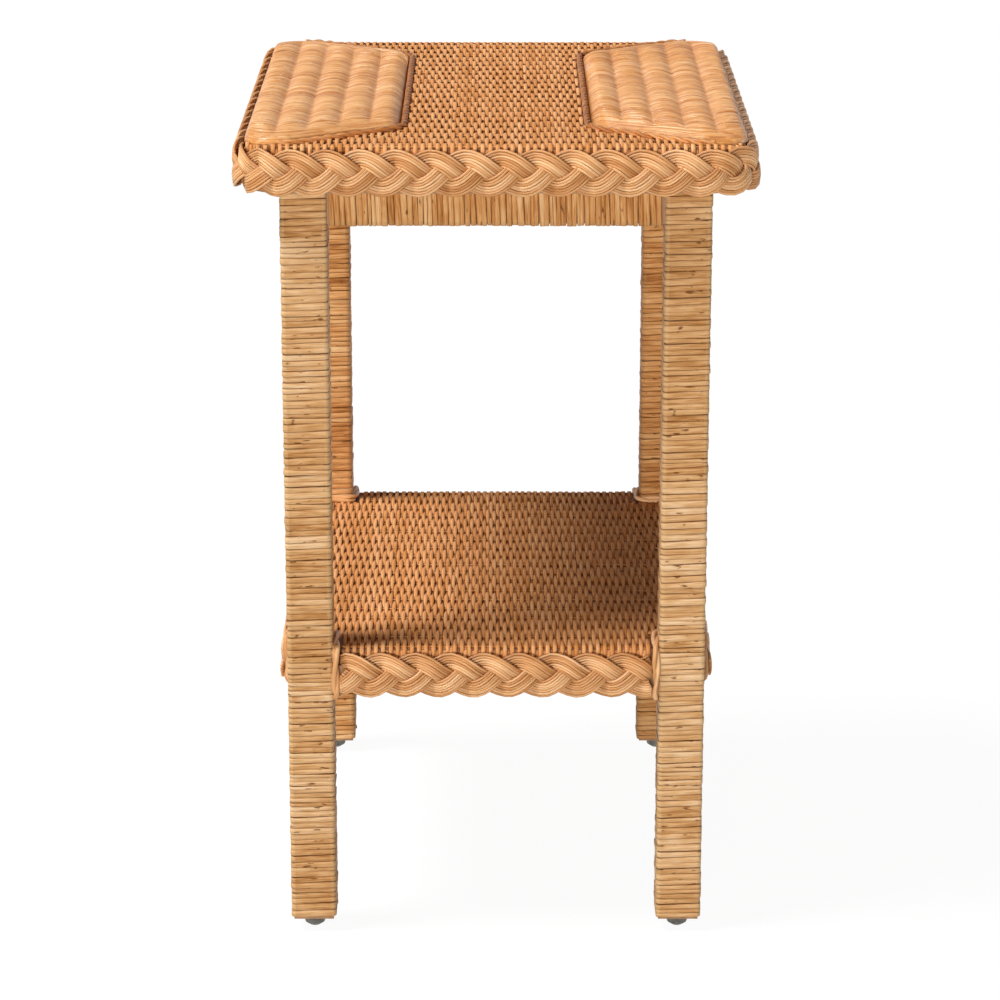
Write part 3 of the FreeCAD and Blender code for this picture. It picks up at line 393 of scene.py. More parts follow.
def plait(edge, level, rise, depth):
    """A flat plait of three strands, each of several reeds side by side.

    A strand's height is a sine along the edge, and it swings in and out as a sine of twice that angle, so
    that each strand passes over one neighbour and under the other. A reed keeps its distance from the
    strand's line, and the upper bends are tucked in against the mat.
    """
    closed = edge[2]
    length = on_edge(edge, np.zeros(1))[2]
    periods = max(1, round(length / PLAIT_PERIOD))
    distance = np.linspace(0, length, PLAIT_STEPS * periods, endpoint=not closed)
    wave = 2 * np.pi * periods / length
    strand = np.repeat(np.arange(STRANDS), PLAIT_REEDS)[:, None]
    place_in_strand = np.tile(np.arange(PLAIT_REEDS), STRANDS)[:, None] - (PLAIT_REEDS - 1) / 2
    phase = wave * distance + 2 * np.pi * strand / STRANDS
    slope = rise * wave * np.cos(phase)
    norm = np.hypot(1, slope)
    waver = PLAIT_WAVER * np.sin(phase * 2 + PLAIT_WAVER_STARTS * rng.random(strand.shape))
    offset = place_in_strand * PLAIT_REED_PITCH + waver
    place, out, _ = on_edge(edge, distance - offset * slope / norm)
    bulge = PLAIT_CROWN * (1 - (2 * place_in_strand / PLAIT_REEDS) ** 2)
    swing = np.tanh(PLAIT_FIRMNESS * np.sin(2 * phase)) / np.tanh(PLAIT_FIRMNESS)
    tuck = PLAIT_TUCK * depth * np.clip(np.sin(phase), 0, 1) ** 2
    paths = upright(place + out * (depth * swing + bulge - tuck)[..., None],
                    level + rise * np.sin(phase) + offset / norm)
    over, side = squared(paths, upright(out, 0.0))
    # painted shade where a strand passes behind its neighbours, towards the mat
    shade = np.clip(0.5 - 0.5 * np.sin(2 * phase), 0, 1)
    section = oval(PLAIT_REED_RADIUS, PLAIT_REED_RADIUS)
    return sweep(paths, -side, over, section, rng.random(len(strand)), closed, shade)


def rounded_run(points, radii, steps=8):
    """A line through points with each corner replaced by an arc that touches both of its runs."""
    points, radii = np.asarray(points, float), np.asarray(radii, float)
    back = unit(points[:-2] - points[1:-1])
    ahead = unit(points[2:] - points[1:-1])
    half = np.arccos((back * ahead).sum(axis=1).clip(-1, 1)) / 2
    middle = points[1:-1] + unit(back + ahead) * (radii / np.sin(half))[:, None]
    inward = unit(middle - points[1:-1] - back * (radii / np.tan(half))[:, None])[:, None]
    turn = ((np.pi - 2 * half)[:, None] * np.linspace(0, 1, steps))[..., None]
    arcs = middle[:, None] - radii[:, None, None] * (inward * np.cos(turn) + back[:, None] * np.sin(turn))
    return np.concatenate([points[:1], arcs.reshape(-1, points.shape[1]), points[-1:]])


def even_steps(line, step):
    """The same line with points at even distances."""
    length = distance_along(line)
    return between(np.linspace(0, length[-1], int(length[-1] / step) + 2), length, line)


def twisted(line, lean, radius, offset, twist, tone):
    """Two reeds twisted round a line: each is the line plus an offset that turns once in every twist."""
    lines = np.repeat(line[None], 2, axis=0)
    side, over = squared(lines, lean)
    turn = (2 * np.pi * (distance_along(line) / twist + np.array([[0.0], [0.5]])))[..., None]
    paths = lines + offset * (side * np.cos(turn) + over * np.sin(turn))
    side, over = squared(paths, lean)
    return sweep(paths, side, over, oval(radius, radius, 8), np.broadcast_to(tone, lines.shape[:2]))


def pad_plan(inner, outer, full, grown):
    """Outline of a pad's back half from its inner side's middle to its outer side, grown by some border."""
    points = [(inner, 0), (inner, PAD_INNER), (outer - PAD_SHOULDER, full), (outer, full), (outer, 0)]
    radii = [PAD_CORNER + grown, PAD_TURN + grown, PAD_OUTER_CORNER]
    return rounded_run(points, radii, PAD_CORNER_POINTS)[:-1]


def pad_half(x, plan):
    """Half length of a pad at a distance from the middle."""
    return np.interp(x, plan[1:, 0], plan[1:, 1])


def ribbed_pad(sign, inner, outer, full, base, crest):
    """Reeds laid side by side over five ribs, as one closed surface.

    Height is the lower of the ribs' row of arcs across the pad and a straight rise from each end, blended
    where they meet and rounded down to the board by a quarter circle at the outline, plus one small arc for
    each reed. Reeds run across the ribs and follow the outline towards the ends, in wavy bundles that lie a
    little higher or lower. Some reeds have dark stretches. Shade grows in the valleys and at the outline.
    Points lie closer together towards the two long sides.
    """
    reeds = int(2 * full / PAD_REED_PITCH)
    share = np.linspace(0, 1, PAD_COLUMNS)[:, None]
    u = 0.5 * share + 0.25 * (1 - np.cos(np.pi * share))
    v = np.linspace(-1, 1, PAD_REED_STEPS * reeds + 1)[None]
    x = outer + (inner - outer) * u
    half = pad_half(x, pad_plan(inner, outer, full, 0.0))
    y = v * full - v * np.abs(v) * (full - half)
    to_end = half - np.abs(y)
    number = np.floor(v * reeds / 2 + 0.5).astype(int)
    across = v * reeds / 2 - number
    each = np.unique(number)
    uneven = np.interp(number, each, PAD_REED_UNEVEN * rng.standard_normal(each.size))
    phase = PAD_REED_STARTS * uneven
    bundle = y / PAD_BUNDLE + sum(width * np.sin(x / length + start) for width, length, start in PAD_WAVES)
    bundles = np.arange(-PAD_BUNDLES, PAD_BUNDLES + 1)
    group = np.interp(bundle, bundles, rng.standard_normal(bundles.size).clip(-1.5, 1.5))

    across_ribs = np.mod((x - inner) * PAD_RIBS / (outer - inner), 1.0)
    valley = (2 * np.abs(across_ribs - 0.5)) ** PAD_FLUTE_POWER
    fade = np.clip(to_end / PAD_FADE, 0, 1)
    full_height = crest - base - PAD_TOP_ROOM
    ribs = full_height - PAD_FLUTE * valley * fade * (2 - fade)
    rise = PAD_END_HEIGHT + (full_height - PAD_END_HEIGHT) * to_end / PAD_END_SLOPE
    blended = -PAD_BLEND * np.logaddexp(-rise / PAD_BLEND, -ribs / PAD_BLEND)
    to_side = np.minimum((x - inner) / PAD_DRAW_SIDE, (outer - x) / PAD_DRAW_OUTER)
    inward = np.clip(np.minimum(to_end / PAD_DRAW_END, to_side), 0, 1)
    drawn = np.sqrt(1 - (1 - inward) ** 2)
    arc = np.sqrt(1 - (PAD_REED_ROUND * across) ** 2) - PAD_REED_SINK
    ridge = PAD_REED_ARC * arc + uneven + PAD_BUNDLE_UNEVEN * group
    height = blended * drawn + ridge * np.minimum(1, PAD_REED_GROWTH * drawn)
    wander = PAD_WANDER * np.sin(x / PAD_WANDER_WAVE + phase)
    flat = np.ones(y.shape)
    top = np.stack([sign * x * flat, y + wander * drawn, base + np.maximum(height, PAD_LEAST)], axis=-1)

    rows, reach = y.shape
    index = np.arange(rows * reach).reshape(rows, reach)
    quads = np.stack([index[:-1, :-1], index[1:, :-1], index[1:, 1:], index[:-1, 1:]], axis=-1)
    rim = np.concatenate([index[0, :-1], index[:-1, -1], index[-1, :0:-1], index[:0:-1, 0]])
    foot = rows * reach + np.arange(rim.size)
    wall = np.stack([np.roll(rim, -1), np.roll(foot, -1), foot, rim], axis=-1)
    faces = [quads.reshape(-1, 4), wall, foot[None, ::-1]]
    under = top.reshape(-1, 3)[rim] * (1, 1, 0) + (0, 0, base)

    darker = np.interp(number, each, (rng.random(each.size) < PAD_DARK_REEDS).astype(float))
    dark = np.clip(darker * (0.5 + np.sin(x / PAD_DARK_WAVE + phase)), 0, 1)
    own = np.interp(number, each, rng.uniform(*PAD_TONES, each.size))
    tones = PAD_TONE + own + PAD_BUNDLE_TONE * group - PAD_DARK_TONE * dark
    # painted shade at the outline and in the valleys between ribs
    shade = PAD_RIM_SHADE * (1 - drawn) ** 2 + PAD_VALLEY_SHADE * valley * fade
    columns = {"along": outer - x + PATTERN_STEP * number, "across": 2 * np.abs(across) * flat,
               "tone": tones.clip(0, 1), "shade": shade.clip(0, 1)}
    surface = {key: np.concatenate([values.ravel(), values.ravel()[rim]]) for key, values in columns.items()}
    surface["points"] = np.concatenate([top.reshape(-1, 3), under])
    surface["faces"] = faces if sign > 0 else [block[:, ::-1] for block in faces]
    return surface


# Pieces and materials

def piece(name, surfaces, material, nodes):
    """One closed mesh from several surfaces, with each point's place on its reed, tone and share of painted
    shade (a painted highlight on the peel).
    """
    starts = np.cumsum([0] + [len(surface["points"]) for surface in surfaces])
    points = np.concatenate([surface["points"] for surface in surfaces]) * MM
    blocks = [block + start for surface, start in zip(surfaces, starts) for block in surface["faces"]]
    corners = np.concatenate([block.ravel() for block in blocks]).astype(np.int32)
    totals = np.concatenate([np.full(len(block), block.shape[1]) for block in blocks])
    mesh = bpy.data.meshes.new(name)
    mesh.vertices.add(len(points))
    mesh.vertices.foreach_set("co", points.astype(np.float32).ravel())
    mesh.loops.add(len(corners))
    mesh.loops.foreach_set("vertex_index", corners)
    mesh.polygons.add(len(totals))
    mesh.polygons.foreach_set("loop_start", np.concatenate([[0], totals.cumsum()[:-1]]).astype(np.int32))
    mesh.update(calc_edges=True)
    mesh.shade_smooth()
    column = {key: np.concatenate([surface[key] for surface in surfaces]).astype(np.float32)
              for key in ("along", "across", "tone", "shade")}
    layer = mesh.uv_layers.new(name="reed")
    layer.data.foreach_set("uv", np.stack([column["along"], column["across"]], axis=1)[corners].ravel())
    for key in ("tone", "shade"):
        mesh.attributes.new(key, "FLOAT", "POINT").data.foreach_set("value", column[key])
    mesh.materials.append(material)
    item = bpy.data.objects.new(name, mesh)
    bpy.context.scene.collection.objects.link(item)
    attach(item, "root")
    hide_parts(*nodes)


def linear(code):
    """An sRGB hex colour as the linear colour that shaders take."""
    parts = np.array([int(code[i:i + 2], 16) for i in (1, 3, 5)]) / 255
    values = np.where(parts <= 0.04045, parts / 12.92, ((parts + 0.055) / 1.055) ** 2.4)
    return (*values.tolist(), 1.0)


def add(tree, kind, inputs=None, stops=(), **settings):
    """Adds a node with its settings and colour stops, and sets or links its inputs.

    Another node given as an input stands for its first output.
    """
    item = tree.nodes.new(kind)
    for key, value in settings.items():
        setattr(item, key, value)
    for key, value in (inputs or {}).items():
        source = value.outputs[0] if isinstance(value, bpy.types.Node) else value
        if isinstance(source, bpy.types.NodeSocket):
            tree.links.new(source, item.inputs[key])
        else:
            item.inputs[key].default_value = source
    for i, (place, code) in enumerate(stops):
        points = item.color_ramp.elements
        point = points[i] if i < len(points) else points.new(place)
        point.position, point.color = place, linear(code)
    return item


def new_material(name):
    """An empty material and its node tree."""
    material = bpy.data.materials.new(name)
    material.use_nodes = True
    material.node_tree.nodes.clear()
    return material, material.node_tree


# Size of each pattern of the reed: millimetres along it, half widths across it, share of the tone's range
PATCHES = (60.0, 9.0, 0.14)         # slow changes of colour
FIBRES = (14.0, 0.4, 0.14)          # drawn wider than real fibres, which are too fine to see
SCARS = (11.0, 1.7, 0.14)           # brown marks where leaves grew
WEAR = (40.0, 3.0, 0.14)            # where the edge of a strip is dark
STREAKS = 1.1                       # how much fibres change the colour
TONES = 0.6                         # how much a piece's tone changes it
SCAR_SOFTNESS = 0.07
SCAR_SHARE = 0.85
EDGE_POWER = 6.0                    # keeps a dark edge narrow
RELIEF = 0.3 * MM                   # height of the fibres or the grain


def rattan(name, stops, scar, scar_start, edge, edge_share, shade, shade_share, roughness, coat, specular):
    """Reed or peel: colours by piece and along it, fibres, scars, dark edges, and the colour that the shade
    attribute paints: painted shade, on the peel a painted highlight.
    """
    material, tree = new_material(name)
    place = add(tree, "ShaderNodeSeparateXYZ", {0: add(tree, "ShaderNodeUVMap", uv_map="reed")})
    tone = add(tree, "ShaderNodeAttribute", attribute_name="tone").outputs["Fac"]
    painted_light = add(tree, "ShaderNodeAttribute", attribute_name="shade").outputs["Fac"]
    spot = add(tree, "ShaderNodeCombineXYZ", {0: place.outputs["X"], 1: place.outputs["Y"], 2: tone})
    spots = [add(tree, "ShaderNodeMapping", {"Vector": spot, "Scale": size}, vector_type="TEXTURE")
             for size in (PATCHES, FIBRES, SCARS, WEAR)]
    patches, fibres, scars, wear = [
        add(tree, "ShaderNodeTexNoise", {"Vector": scaled, "Scale": 1.0, "Detail": 3.0}) for scaled in spots]
    streaks = add(tree, "ShaderNodeMath", {0: fibres, 1: STREAKS, 2: -STREAKS / 2}, operation="MULTIPLY_ADD")
    mottled = add(tree, "ShaderNodeMath", {0: patches, 1: 1.0, 2: streaks}, operation="MULTIPLY_ADD")
    shifted = add(tree, "ShaderNodeMath", {0: mottled, 1: TONES / 2}, operation="SUBTRACT")
    mixed = add(tree, "ShaderNodeMath", {0: tone, 1: TONES, 2: shifted}, operation="MULTIPLY_ADD")
    plain = add(tree, "ShaderNodeValToRGB", {"Fac": mixed}, stops)
    mark = add(tree, "ShaderNodeMapRange", {
        "Value": scars, "From Min": scar_start, "From Max": scar_start + SCAR_SOFTNESS, "To Max": SCAR_SHARE},
        interpolation_type="SMOOTHSTEP")
    marked = add(tree, "ShaderNodeMix", {0: mark, 6: plain, 7: linear(scar)}, data_type="RGBA").outputs[2]
    # painted light: the shade attribute mixes in the shade colour, as painted shade in holes, crossings and
    # valleys, and as a painted highlight on the peel's corners
    painted_light_share = add(tree, "ShaderNodeMath", {0: painted_light, 1: shade_share}, operation="MULTIPLY")
    shaded = add(tree, "ShaderNodeMix", {0: painted_light_share, 6: marked, 7: linear(shade)}, data_type="RGBA").outputs[2]
    side = add(tree, "ShaderNodeMath", {0: place.outputs["Y"]}, operation="ABSOLUTE")
    rim = add(tree, "ShaderNodeMath", {0: side, 1: EDGE_POWER}, operation="POWER")
    worn = add(tree, "ShaderNodeMapRange", {
        "Value": wear, "From Min": 0.35, "From Max": 0.62, "To Min": 0.1, "To Max": edge_share})
    line = add(tree, "ShaderNodeMath", {0: rim, 1: worn}, operation="MULTIPLY")
    colour = add(tree, "ShaderNodeMix", {0: line, 6: shaded, 7: linear(edge)}, data_type="RGBA").outputs[2]
    bump = add(tree, "ShaderNodeBump", {"Height": fibres, "Strength": 0.25, "Distance": RELIEF})
    shader = add(tree, "ShaderNodeBsdfPrincipled", {
        "Base Color": colour, "Roughness": roughness, "Specular IOR Level": specular, "Coat Weight": coat,
        "Coat Roughness": 0.2, "Normal": bump})
    add(tree, "ShaderNodeOutputMaterial", {"Surface": shader})
    return material


def wood(name, light, dark, grain, stretch):
    """Planed wood: grain lines drawn out along one axis, dark and light, with a slight relief."""
    material, tree = new_material(name)
    spot = add(tree, "ShaderNodeTexCoord").outputs["Object"]
    scale = tuple(share / (grain * MM) for share in stretch)
    turned = add(tree, "ShaderNodeMapping", {"Vector": spot, "Scale": scale})
    lines = add(tree, "ShaderNodeTexNoise", {"Vector": turned, "Scale": 1.0, "Detail": 4.0})
    bump = add(tree, "ShaderNodeBump", {"Height": lines, "Strength": 0.2, "Distance": RELIEF})
    shader = add(tree, "ShaderNodeBsdfPrincipled", {
        "Base Color": add(tree, "ShaderNodeValToRGB", {"Fac": lines}, [(0.3, dark), (0.7, light)]),
        "Roughness": 0.6, "Normal": bump})
    add(tree, "ShaderNodeOutputMaterial", {"Surface": shader})
    return material


def zinc_steel():
    """Pressed steel with a dull zinc plate: grey, with faint cloudy patches and soft reflections."""
    material, tree = new_material("zinc_plated_steel")
    spot = add(tree, "ShaderNodeTexCoord").outputs["Object"]
    cloud = add(tree, "ShaderNodeTexNoise", {"Vector": spot, "Scale": 1 / (4 * MM), "Detail": 2.0})
    shader = add(tree, "ShaderNodeBsdfPrincipled", {
        "Base Color": add(tree, "ShaderNodeValToRGB", {"Fac": cloud}, [(0.3, "#57544F"), (0.7, "#76726B")]),
        "Metallic": 1.0,
        "Roughness": add(tree, "ShaderNodeMapRange", {"Value": cloud, "To Min": 0.35, "To Max": 0.55})})
    add(tree, "ShaderNodeOutputMaterial", {"Surface": shader})
    return material


# Rattan peel keeps its natural skin: satin, straw to tan, with brown scars and lines; the pale colour on a
# leg's corners is a painted highlight
PEEL = rattan(
    "rattan_peel", [(0.1, "#A36A33"), (0.4, "#C9955F"), (0.65, "#DCAE7B"), (0.95, "#EECAA0")],
    scar="#6B3D18", scar_start=0.64, edge="#6E370A", edge_share=1.0, shade="#D8B888", shade_share=0.3,
    roughness=0.5, coat=0.0, specular=0.05)
# Browner, more orange peel, on the aprons and the back legs; on the back legs it stands in for their shade
# and bounced light (painted shade), and its paler colour on the bars' corners is a painted highlight
BROWN_PEEL_AND_SHADE = rattan(
    "brown_rattan_peel_and_shade", [(0.1, "#985E2C"), (0.4, "#C6884E"), (0.65, "#DAA369"), (0.95, "#EEC18D")],
    scar="#5E3414", scar_start=0.65, edge="#6E370A", edge_share=1.0, shade="#B08A5E", shade_share=0.3,
    roughness=0.5, coat=0.0, specular=0.05)
# Core reed of the woven fields has no skin: dull orange tan, with painted shade in the holes where a reed
# dives under a stake, on the stakes and on the reeds along the edge
WEAVE = rattan(
    "woven_core_reed", [(0.1, "#C17937"), (0.5, "#E4A167"), (0.95, "#F4BC86")],
    scar="#7A4318", scar_start=0.7, edge="#8A4A18", edge_share=0.3, shade="#5A2202", shade_share=0.75,
    roughness=0.5, coat=0.0, specular=0.02)
# Core reed of the plait: paler than the field, with a thin lacquer, and painted shade where a strand passes
# behind its neighbours
PLAIT = rattan(
    "plaited_core_reed", [(0.1, "#BE7F45"), (0.5, "#DFA56D"), (0.95, "#F6C794")],
    scar="#94602F", scar_start=0.74, edge="#7E4A20", edge_share=0.5, shade="#8A5428", shade_share=0.25,
    roughness=0.42, coat=0.05, specular=0.25)
# Fine reed of the pads under a glossy lacquer, with painted shade in the valleys between ribs and at the
# outline
LAID = rattan(
    "lacquered_fine_reed", [(0.1, "#B86E2C"), (0.5, "#DC9C5A"), (0.95, "#F6C690")],
    scar="#A86A34", scar_start=0.78, edge="#9A5A26", edge_share=0.85, shade="#9E5A22", shade_share=0.75,
    roughness=0.32, coat=0.15, specular=0.2)
# Twisted reed cord, stained darker
CORD = rattan(
    "twisted_reed_cord", [(0.1, "#8A4E22"), (0.5, "#C27E44"), (0.9, "#E0A266")],
    scar="#6A3F1C", scar_start=0.75, edge="#54300F", edge_share=0.3, shade="#54300F", shade_share=0.4,
    roughness=0.42, coat=0.0, specular=0.2)
# Reed that binds the shelf: the plait's colour, a little fresher
TIE = rattan(
    "binding_reed", [(0.1, "#BE7D42"), (0.5, "#DFA36A"), (0.9, "#F2C08A")],
    scar="#7A4A24", scar_start=0.75, edge="#6A4020", edge_share=0.4, shade="#6A4020", shade_share=0.3,
    roughness=0.42, coat=0.05, specular=0.25)
# Plain hardwood of the frame, brown, with its grain upright
HARDWOOD = wood("planed_hardwood", "#B58A5E", "#8E6540", 6.0, (1.0, 1.0, 0.08))
# Boards under the weave are stained brown, so that no pale wood shines through its holes; their dark colour
# also stands in for the shade in those holes, a painted shade
PLYWOOD_DARK_AS_SHADE = wood("stained_plywood_dark_as_shade", "#8A5527", "#6B3C18", 9.0, (0.08, 1.0, 1.0))
STEEL = zinc_steel()


# Legs and aprons in their windings

peel_skin = room("leg_wrap_upper_back_right")[1][0] - room("leg_back_right")[1][0]
for corner in CORNERS:
    low, high = room("leg_" + corner)
    strip = winding("z", (low + high)[:2] / 2, (high - low)[:2] / 2, low[2], high[2], PEEL_PITCH, peel_skin)
    wraps = [f"leg_wrap_lower_{corner}", f"leg_wrap_upper_{corner}", f"leg_corner_bands_{corner}"]
    # the back legs get the browner peel as painted shade
    piece("peel_leg_" + corner, [strip], PEEL if "front" in corner else BROWN_PEEL_AND_SHADE, wraps)

for side, axis, run, cross in (("front", "x", 0, [1, 2]), ("back", "x", 0, [1, 2]),
                               ("left", "y", 1, [2, 0]), ("right", "y", 1, [2, 0])):
    low, high = room("apron_wrap_" + side)
    low, high = low + peel_skin, high - peel_skin
    strip = winding(axis, (low + high)[cross] / 2, (high - low)[cross] / 2, low[run], high[run],
                    PEEL_PITCH_APRON, peel_skin)
    piece("peel_apron_" + side, [strip], BROWN_PEEL_AND_SHADE, ["apron_wrap_" + side])


# Woven fields

top_low, top_high = room("top_weave")
shelf_low, shelf_high = room("shelf_weave")
pad_low, pad_high = room("pad_ribs_right", "pad_cover_right")
cord_low, cord_high = room("pad_border_right")
tie_low, tie_high = room("shelf_tie_back_right")
cord_width = cord_high[2] - cord_low[2]
pad_out = top_high[0] - PAD_SETBACK
notch_x, notch_y = tie_low[:2] - TIE_ROOM


def reed_rows(half_width):
    """Number and place of the reeds that fill a woven field, counted from its left side."""
    number = np.arange(int(2 * half_width / REED_PITCH))
    return number, (number - (len(number) - 1) / 2) * REED_PITCH


def stake_rows(half_depth, pitch):
    """Places of the stakes of a woven field, one of which runs across its middle."""
    count = int((half_depth - WEAVE_RIM) / pitch)
    return np.arange(-count, count + 1) * pitch


def woven_top():
    """Whole reeds between the pads, short ones before and behind them, stakes, and reeds round the edge."""
    level = top_high[2] - WEAVE_CROWN
    number, x = reed_rows(top_high[0] - TOP_SIDE_ROOM)
    round_off = np.clip(np.abs(x) - (top_high[0] - TOP_CORNER), 0, TOP_CORNER)
    half = top_high[1] - WEAVE_CROWN - TOP_CORNER + np.sqrt(TOP_CORNER ** 2 - round_off ** 2)
    mat = {"x": x, "number": number, "half": half, "low": top_low[2], "level": level, "stake": STAKE_TOP}
    total = rim_length(half, top_low[2], level)
    whole = np.abs(x) < cord_low[0] - PAD_REED_ROOM
    plan = pad_plan(pad_low[0] - cord_width, pad_out, pad_high[1] + cord_width, cord_width)
    to_pad = total / 2 - np.minimum(pad_half(np.abs(x), plan), half - SHORT_REED)
    rows = stake_rows(top_high[1], STAKE_TOP)
    inner_side = plan[:-PAD_CORNER_POINTS]
    reach = np.interp(np.abs(rows), inner_side[:, 1], inner_side[:, 0]) - PAD_STAKE_ROOM
    in_corner, on_side = EDGE_POINTS
    edge, _ = rounded_outline(*(top_high[:2] - EDGE_REED_RADIUS), TOP_CORNER - EDGE_REED_RADIUS, in_corner,
                              np.linspace(0, 1, on_side, endpoint=False))
    return [
        weavers(mat, whole, 0 * total, total, TOP_STEPS),
        weavers(mat, ~whole, 0 * total, to_pad, TOP_END_STEPS),
        weavers(mat, ~whole, total - to_pad, total, TOP_END_STEPS),
        stakes(rows, reach, level),
        edge_reeds(edge, True, top_low[2], top_high[2] - EDGE_TOP_ROOM),
    ]


def woven_shelf():
    """Whole reeds between the legs, shorter ones beside them, stakes, and reeds along the left and right."""
    level = shelf_high[2] - WEAVE_CROWN
    number, x = reed_rows(shelf_high[0] - SHELF_SIDE_ROOM)
    half = np.full(len(x), shelf_high[1] - WEAVE_CROWN)
    mat = {"x": x, "number": number, "half": half, "low": shelf_low[2], "level": level, "stake": STAKE_SHELF}
    total = rim_length(half, shelf_low[2], level)
    whole = np.abs(x) < notch_x
    rows = stake_rows(shelf_high[1], STAKE_SHELF)
    reach = np.where(np.abs(rows) < notch_y, shelf_high[0] - SHELF_STAKE_ROOM, notch_x)
    y = np.linspace(-notch_y, notch_y, SHELF_EDGE_POINTS)
    edge_x = np.full(y.size, shelf_high[0] - SHELF_EDGE_INSET)
    edges = [np.stack([sign * edge_x, y], axis=1) for sign in (-1, 1)]
    return [
        weavers(mat, whole, 0 * total, total, SHELF_STEPS),
        weavers(mat, ~whole, total / 2 - notch_y, total / 2 + notch_y, SHELF_SIDE_STEPS),
        stakes(rows, reach, level),
        *[edge_reeds(edge, False, shelf_low[2], shelf_high[2]) for edge in edges],
    ]


piece("woven_top", woven_top(), WEAVE, ["top_weave"])
piece("woven_shelf", woven_shelf(), WEAVE, ["shelf_weave"])


# Plaited edges

top_strands = ["top_braid_strand_a", "top_braid_strand_b", "top_braid_strand_c"]
plait_low, plait_high = room(*top_strands)
plait_rise = (plait_high[2] - plait_low[2]) / 2 - PLAIT_REEDS * PLAIT_REED_PITCH / 2
plait_off = (plait_high[0] - top_high[0]) / 2
plait_depth = plait_off - PLAIT_REED_PITCH / 2 - PLAIT_CROWN
in_corner, on_side = PLAIT_EDGE_POINTS
ring, ring_out = rounded_outline(*(top_high[:2] + plait_off), TOP_CORNER + plait_off, in_corner,
                                 np.linspace(0, 1, on_side, endpoint=False))
clockwise = (ring[::-1], ring_out[::-1], True)
piece("plait_top", [plait(clockwise, (plait_low[2] + plait_high[2]) / 2, plait_rise, plait_depth)], PLAIT,
      top_strands)

# Each edge runs clockwise seen from above, as the top's does: its axis, its outward side and its direction
for side, along, outward, ahead in (("front", 0, -1, -1), ("right", 1, 1, -1),
                                    ("back", 0, 1, 1), ("left", 1, -1, 1)):
    low, high = room("shelf_braid_" + side)
    middle = (low + high) / 2
    line = np.repeat(middle[None, :2], 2, axis=0)
    line[:, along] = np.array([-1, 1]) * ahead * (notch_x, notch_y)[along]
    line_out = np.zeros((2, 2))
    line_out[:, 1 - along] = outward
    piece("plait_shelf_" + side, [plait((line, line_out, False), middle[2], plait_rise, plait_depth)], PLAIT,
          ["shelf_braid_" + side])


# Ribbed pads and their border cords: the right pad's cord is mirrored to the left

cord_radius = cord_width / 2
cord_end = cord_high[1] - cord_radius
cord_bends = [(cord_high[0], cord_end), (pad_high[0] - PAD_SHOULDER - CORD_PAST_SHOULDER, cord_end),
              (cord_low[0] + cord_radius, PAD_INNER + CORD_PAST_CORNER)]
cord_plan = cord_bends + [(x, -y) for x, y in reversed(cord_bends)]
shoulder_bend, corner_bend = PAD_TURN + cord_radius, PAD_CORNER + cord_radius
cord_run = rounded_run(cord_plan, [shoulder_bend, corner_bend, corner_bend, shoulder_bend])
cord_line = even_steps(upright(cord_run, cord_low[2] + cord_radius), CORD_STEP)
cord_tone = np.interp(cord_line[:, 0] - cord_low[0] - cord_radius, [0, CORD_TONE_RUN], CORD_TONES)
for name, sign in (("right", 1), ("left", -1)):
    surface = ribbed_pad(sign, pad_low[0], pad_out, pad_high[1], pad_low[2], pad_high[2])
    piece("reed_pad_" + name, [surface], LAID, ["pad_cover_" + name])
    cord = twisted(cord_line * (sign, 1, 1), (0, 0, 1), cord_radius * CORD_REED, cord_radius * PLY_OFFSET,
                   CORD_TWIST, cord_tone)
    piece("cord_pad_" + name, [cord], CORD, ["pad_border_" + name])


# Ties at the shelf's corners: the back right one is mirrored to the others

tie_radius = (tie_high[2] - room("shelf_panel")[1][2]) / 2
(near_x, near_y, foot), (far_x, far_y, lift) = tie_low + tie_radius, tie_high - tie_radius
tie_bends = [(near_x, far_y - TIE_END, foot), (near_x, far_y, foot), (near_x, far_y, lift),
             (near_x, near_y, lift), (far_x, near_y, lift), (far_x, near_y, foot),
             (far_x - TIE_END, near_y, foot)]
tie_line = even_steps(rounded_run(tie_bends, [TIE_BEND] * 5), TIE_STEP)
for corner, (sx, sy) in CORNERS.items():
    tie = twisted(tie_line * (sx, sy, 1), (sx, sy, 1), tie_radius * TIE_REED, tie_radius * PLY_OFFSET,
                  TIE_TWIST, rng.random((2, 1)))
    piece("binding_" + corner, [tie], TIE, ["shelf_tie_" + corner])


# Frame pieces that stay as they are

MADE_OF = {"foot_glides": STEEL, "top_screws": STEEL, "top_panel": PLYWOOD_DARK_AS_SHADE, "shelf_panel": PLYWOOD_DARK_AS_SHADE}
for name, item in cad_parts.items():
    if not item.hide_render:
        item.data.materials.clear()
        item.data.materials.append(MADE_OF.get(name, HARDWOOD))


# Floor, light and camera

def in_sight(tree):
    """One for a ray that shows a thing to the camera, also mirrored or through glass; nought for light."""
    rays = add(tree, "ShaderNodeLightPath").outputs
    straight, mirrored, through = [rays[f"Is {kind} Ray"] for kind in ("Camera", "Glossy", "Transmission")]
    seen = add(tree, "ShaderNodeMath", {0: straight, 1: mirrored}, operation="MAXIMUM")
    return add(tree, "ShaderNodeMath", {0: seen, 1: through}, operation="MAXIMUM")


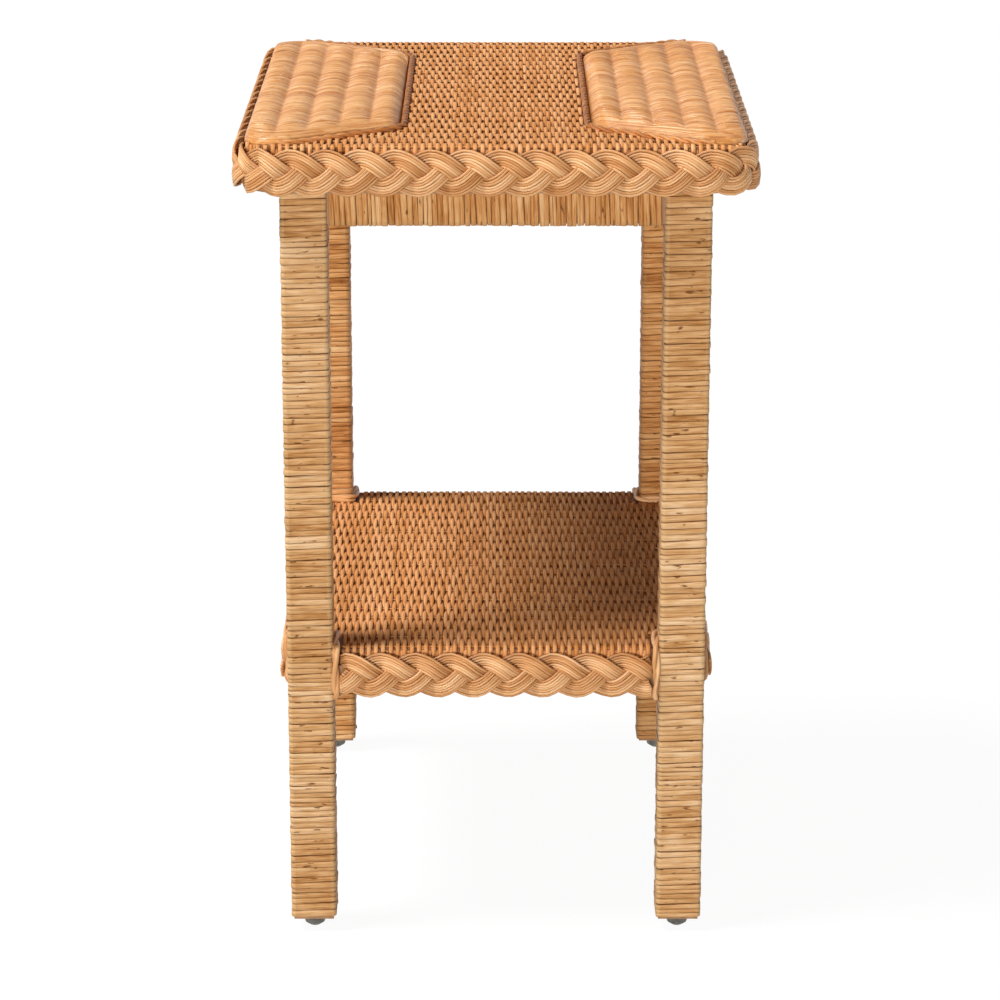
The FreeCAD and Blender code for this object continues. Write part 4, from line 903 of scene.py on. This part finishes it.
def white_floor():
    """White paper: the camera sees white with a faint shadow, and the table gets light from plain white."""
    material, tree = new_material("white_paper_floor")
    glow = add(tree, "ShaderNodeEmission", {"Color": linear("#FFFFFF"), "Strength": 0.95})
    faint = add(tree, "ShaderNodeBsdfDiffuse", {"Color": linear("#4B4B4B")})
    paper = add(tree, "ShaderNodeBsdfDiffuse", {"Color": linear("#C4C2BE")})
    shown = add(tree, "ShaderNodeAddShader", {0: glow, 1: faint})
    both = add(tree, "ShaderNodeMixShader", {0: in_sight(tree), 1: paper, 2: shown})
    add(tree, "ShaderNodeOutputMaterial", {"Surface": both})
    return material


scene = bpy.context.scene
FLOOR_REACH = 30.0                  # metres
floor_ends = (-FLOOR_REACH, FLOOR_REACH)
floor_mesh = bpy.data.meshes.new("floor")
floor_mesh.from_pydata([(x, y, 0) for x in floor_ends for y in floor_ends], [], [(0, 2, 3, 1)])
floor_mesh.materials.append(white_floor())
floor = bpy.data.objects.new("floor", floor_mesh)
scene.collection.objects.link(floor)

world = bpy.data.worlds.new("studio")
world.use_nodes = True
world_tree = world.node_tree
world_tree.nodes.clear()
# The camera sees a white sky; as light it is weak, so that the lamps make the shadows
sky_strength = add(world_tree, "ShaderNodeMapRange", {
    "Value": in_sight(world_tree), "To Min": 0.08, "To Max": 1.0})
sky = add(world_tree, "ShaderNodeBackground", {"Color": linear("#FFFFFF"), "Strength": sky_strength})
add(world_tree, "ShaderNodeOutputWorld", {"Surface": sky})
scene.world = world


def lamp(name, azimuth, elevation, strength, softness):
    """A far lamp with a wide face; azimuth is counted from the front towards the right, in degrees."""
    data = bpy.data.lights.new(name, "SUN")
    data.energy = strength
    data.angle = math.radians(softness)
    item = bpy.data.objects.new(name, data)
    item.rotation_euler = (math.radians(90 - elevation), 0, math.radians(azimuth))
    scene.collection.objects.link(item)


lamp("key_lamp", azimuth=-78, elevation=60, strength=3.25, softness=22)
lamp("side_lamp", azimuth=110, elevation=4, strength=0.55, softness=20)
lamp("front_lamp", azimuth=-10, elevation=4, strength=2.15, softness=14)

CAMERA_DOWN = 16.99                 # degrees below level
camera_data = bpy.data.cameras.new("camera")
camera_data.lens = 129.4
camera_data.sensor_width = 36.0
camera_data.shift_x = 0.004
camera = bpy.data.objects.new("camera", camera_data)
camera.location = (0.0, -2.722, 1.1115)
camera.rotation_euler = (math.radians(90 - CAMERA_DOWN), 0, 0)
scene.collection.objects.link(camera)
scene.camera = camera
scene.view_settings.view_transform = "Standard"
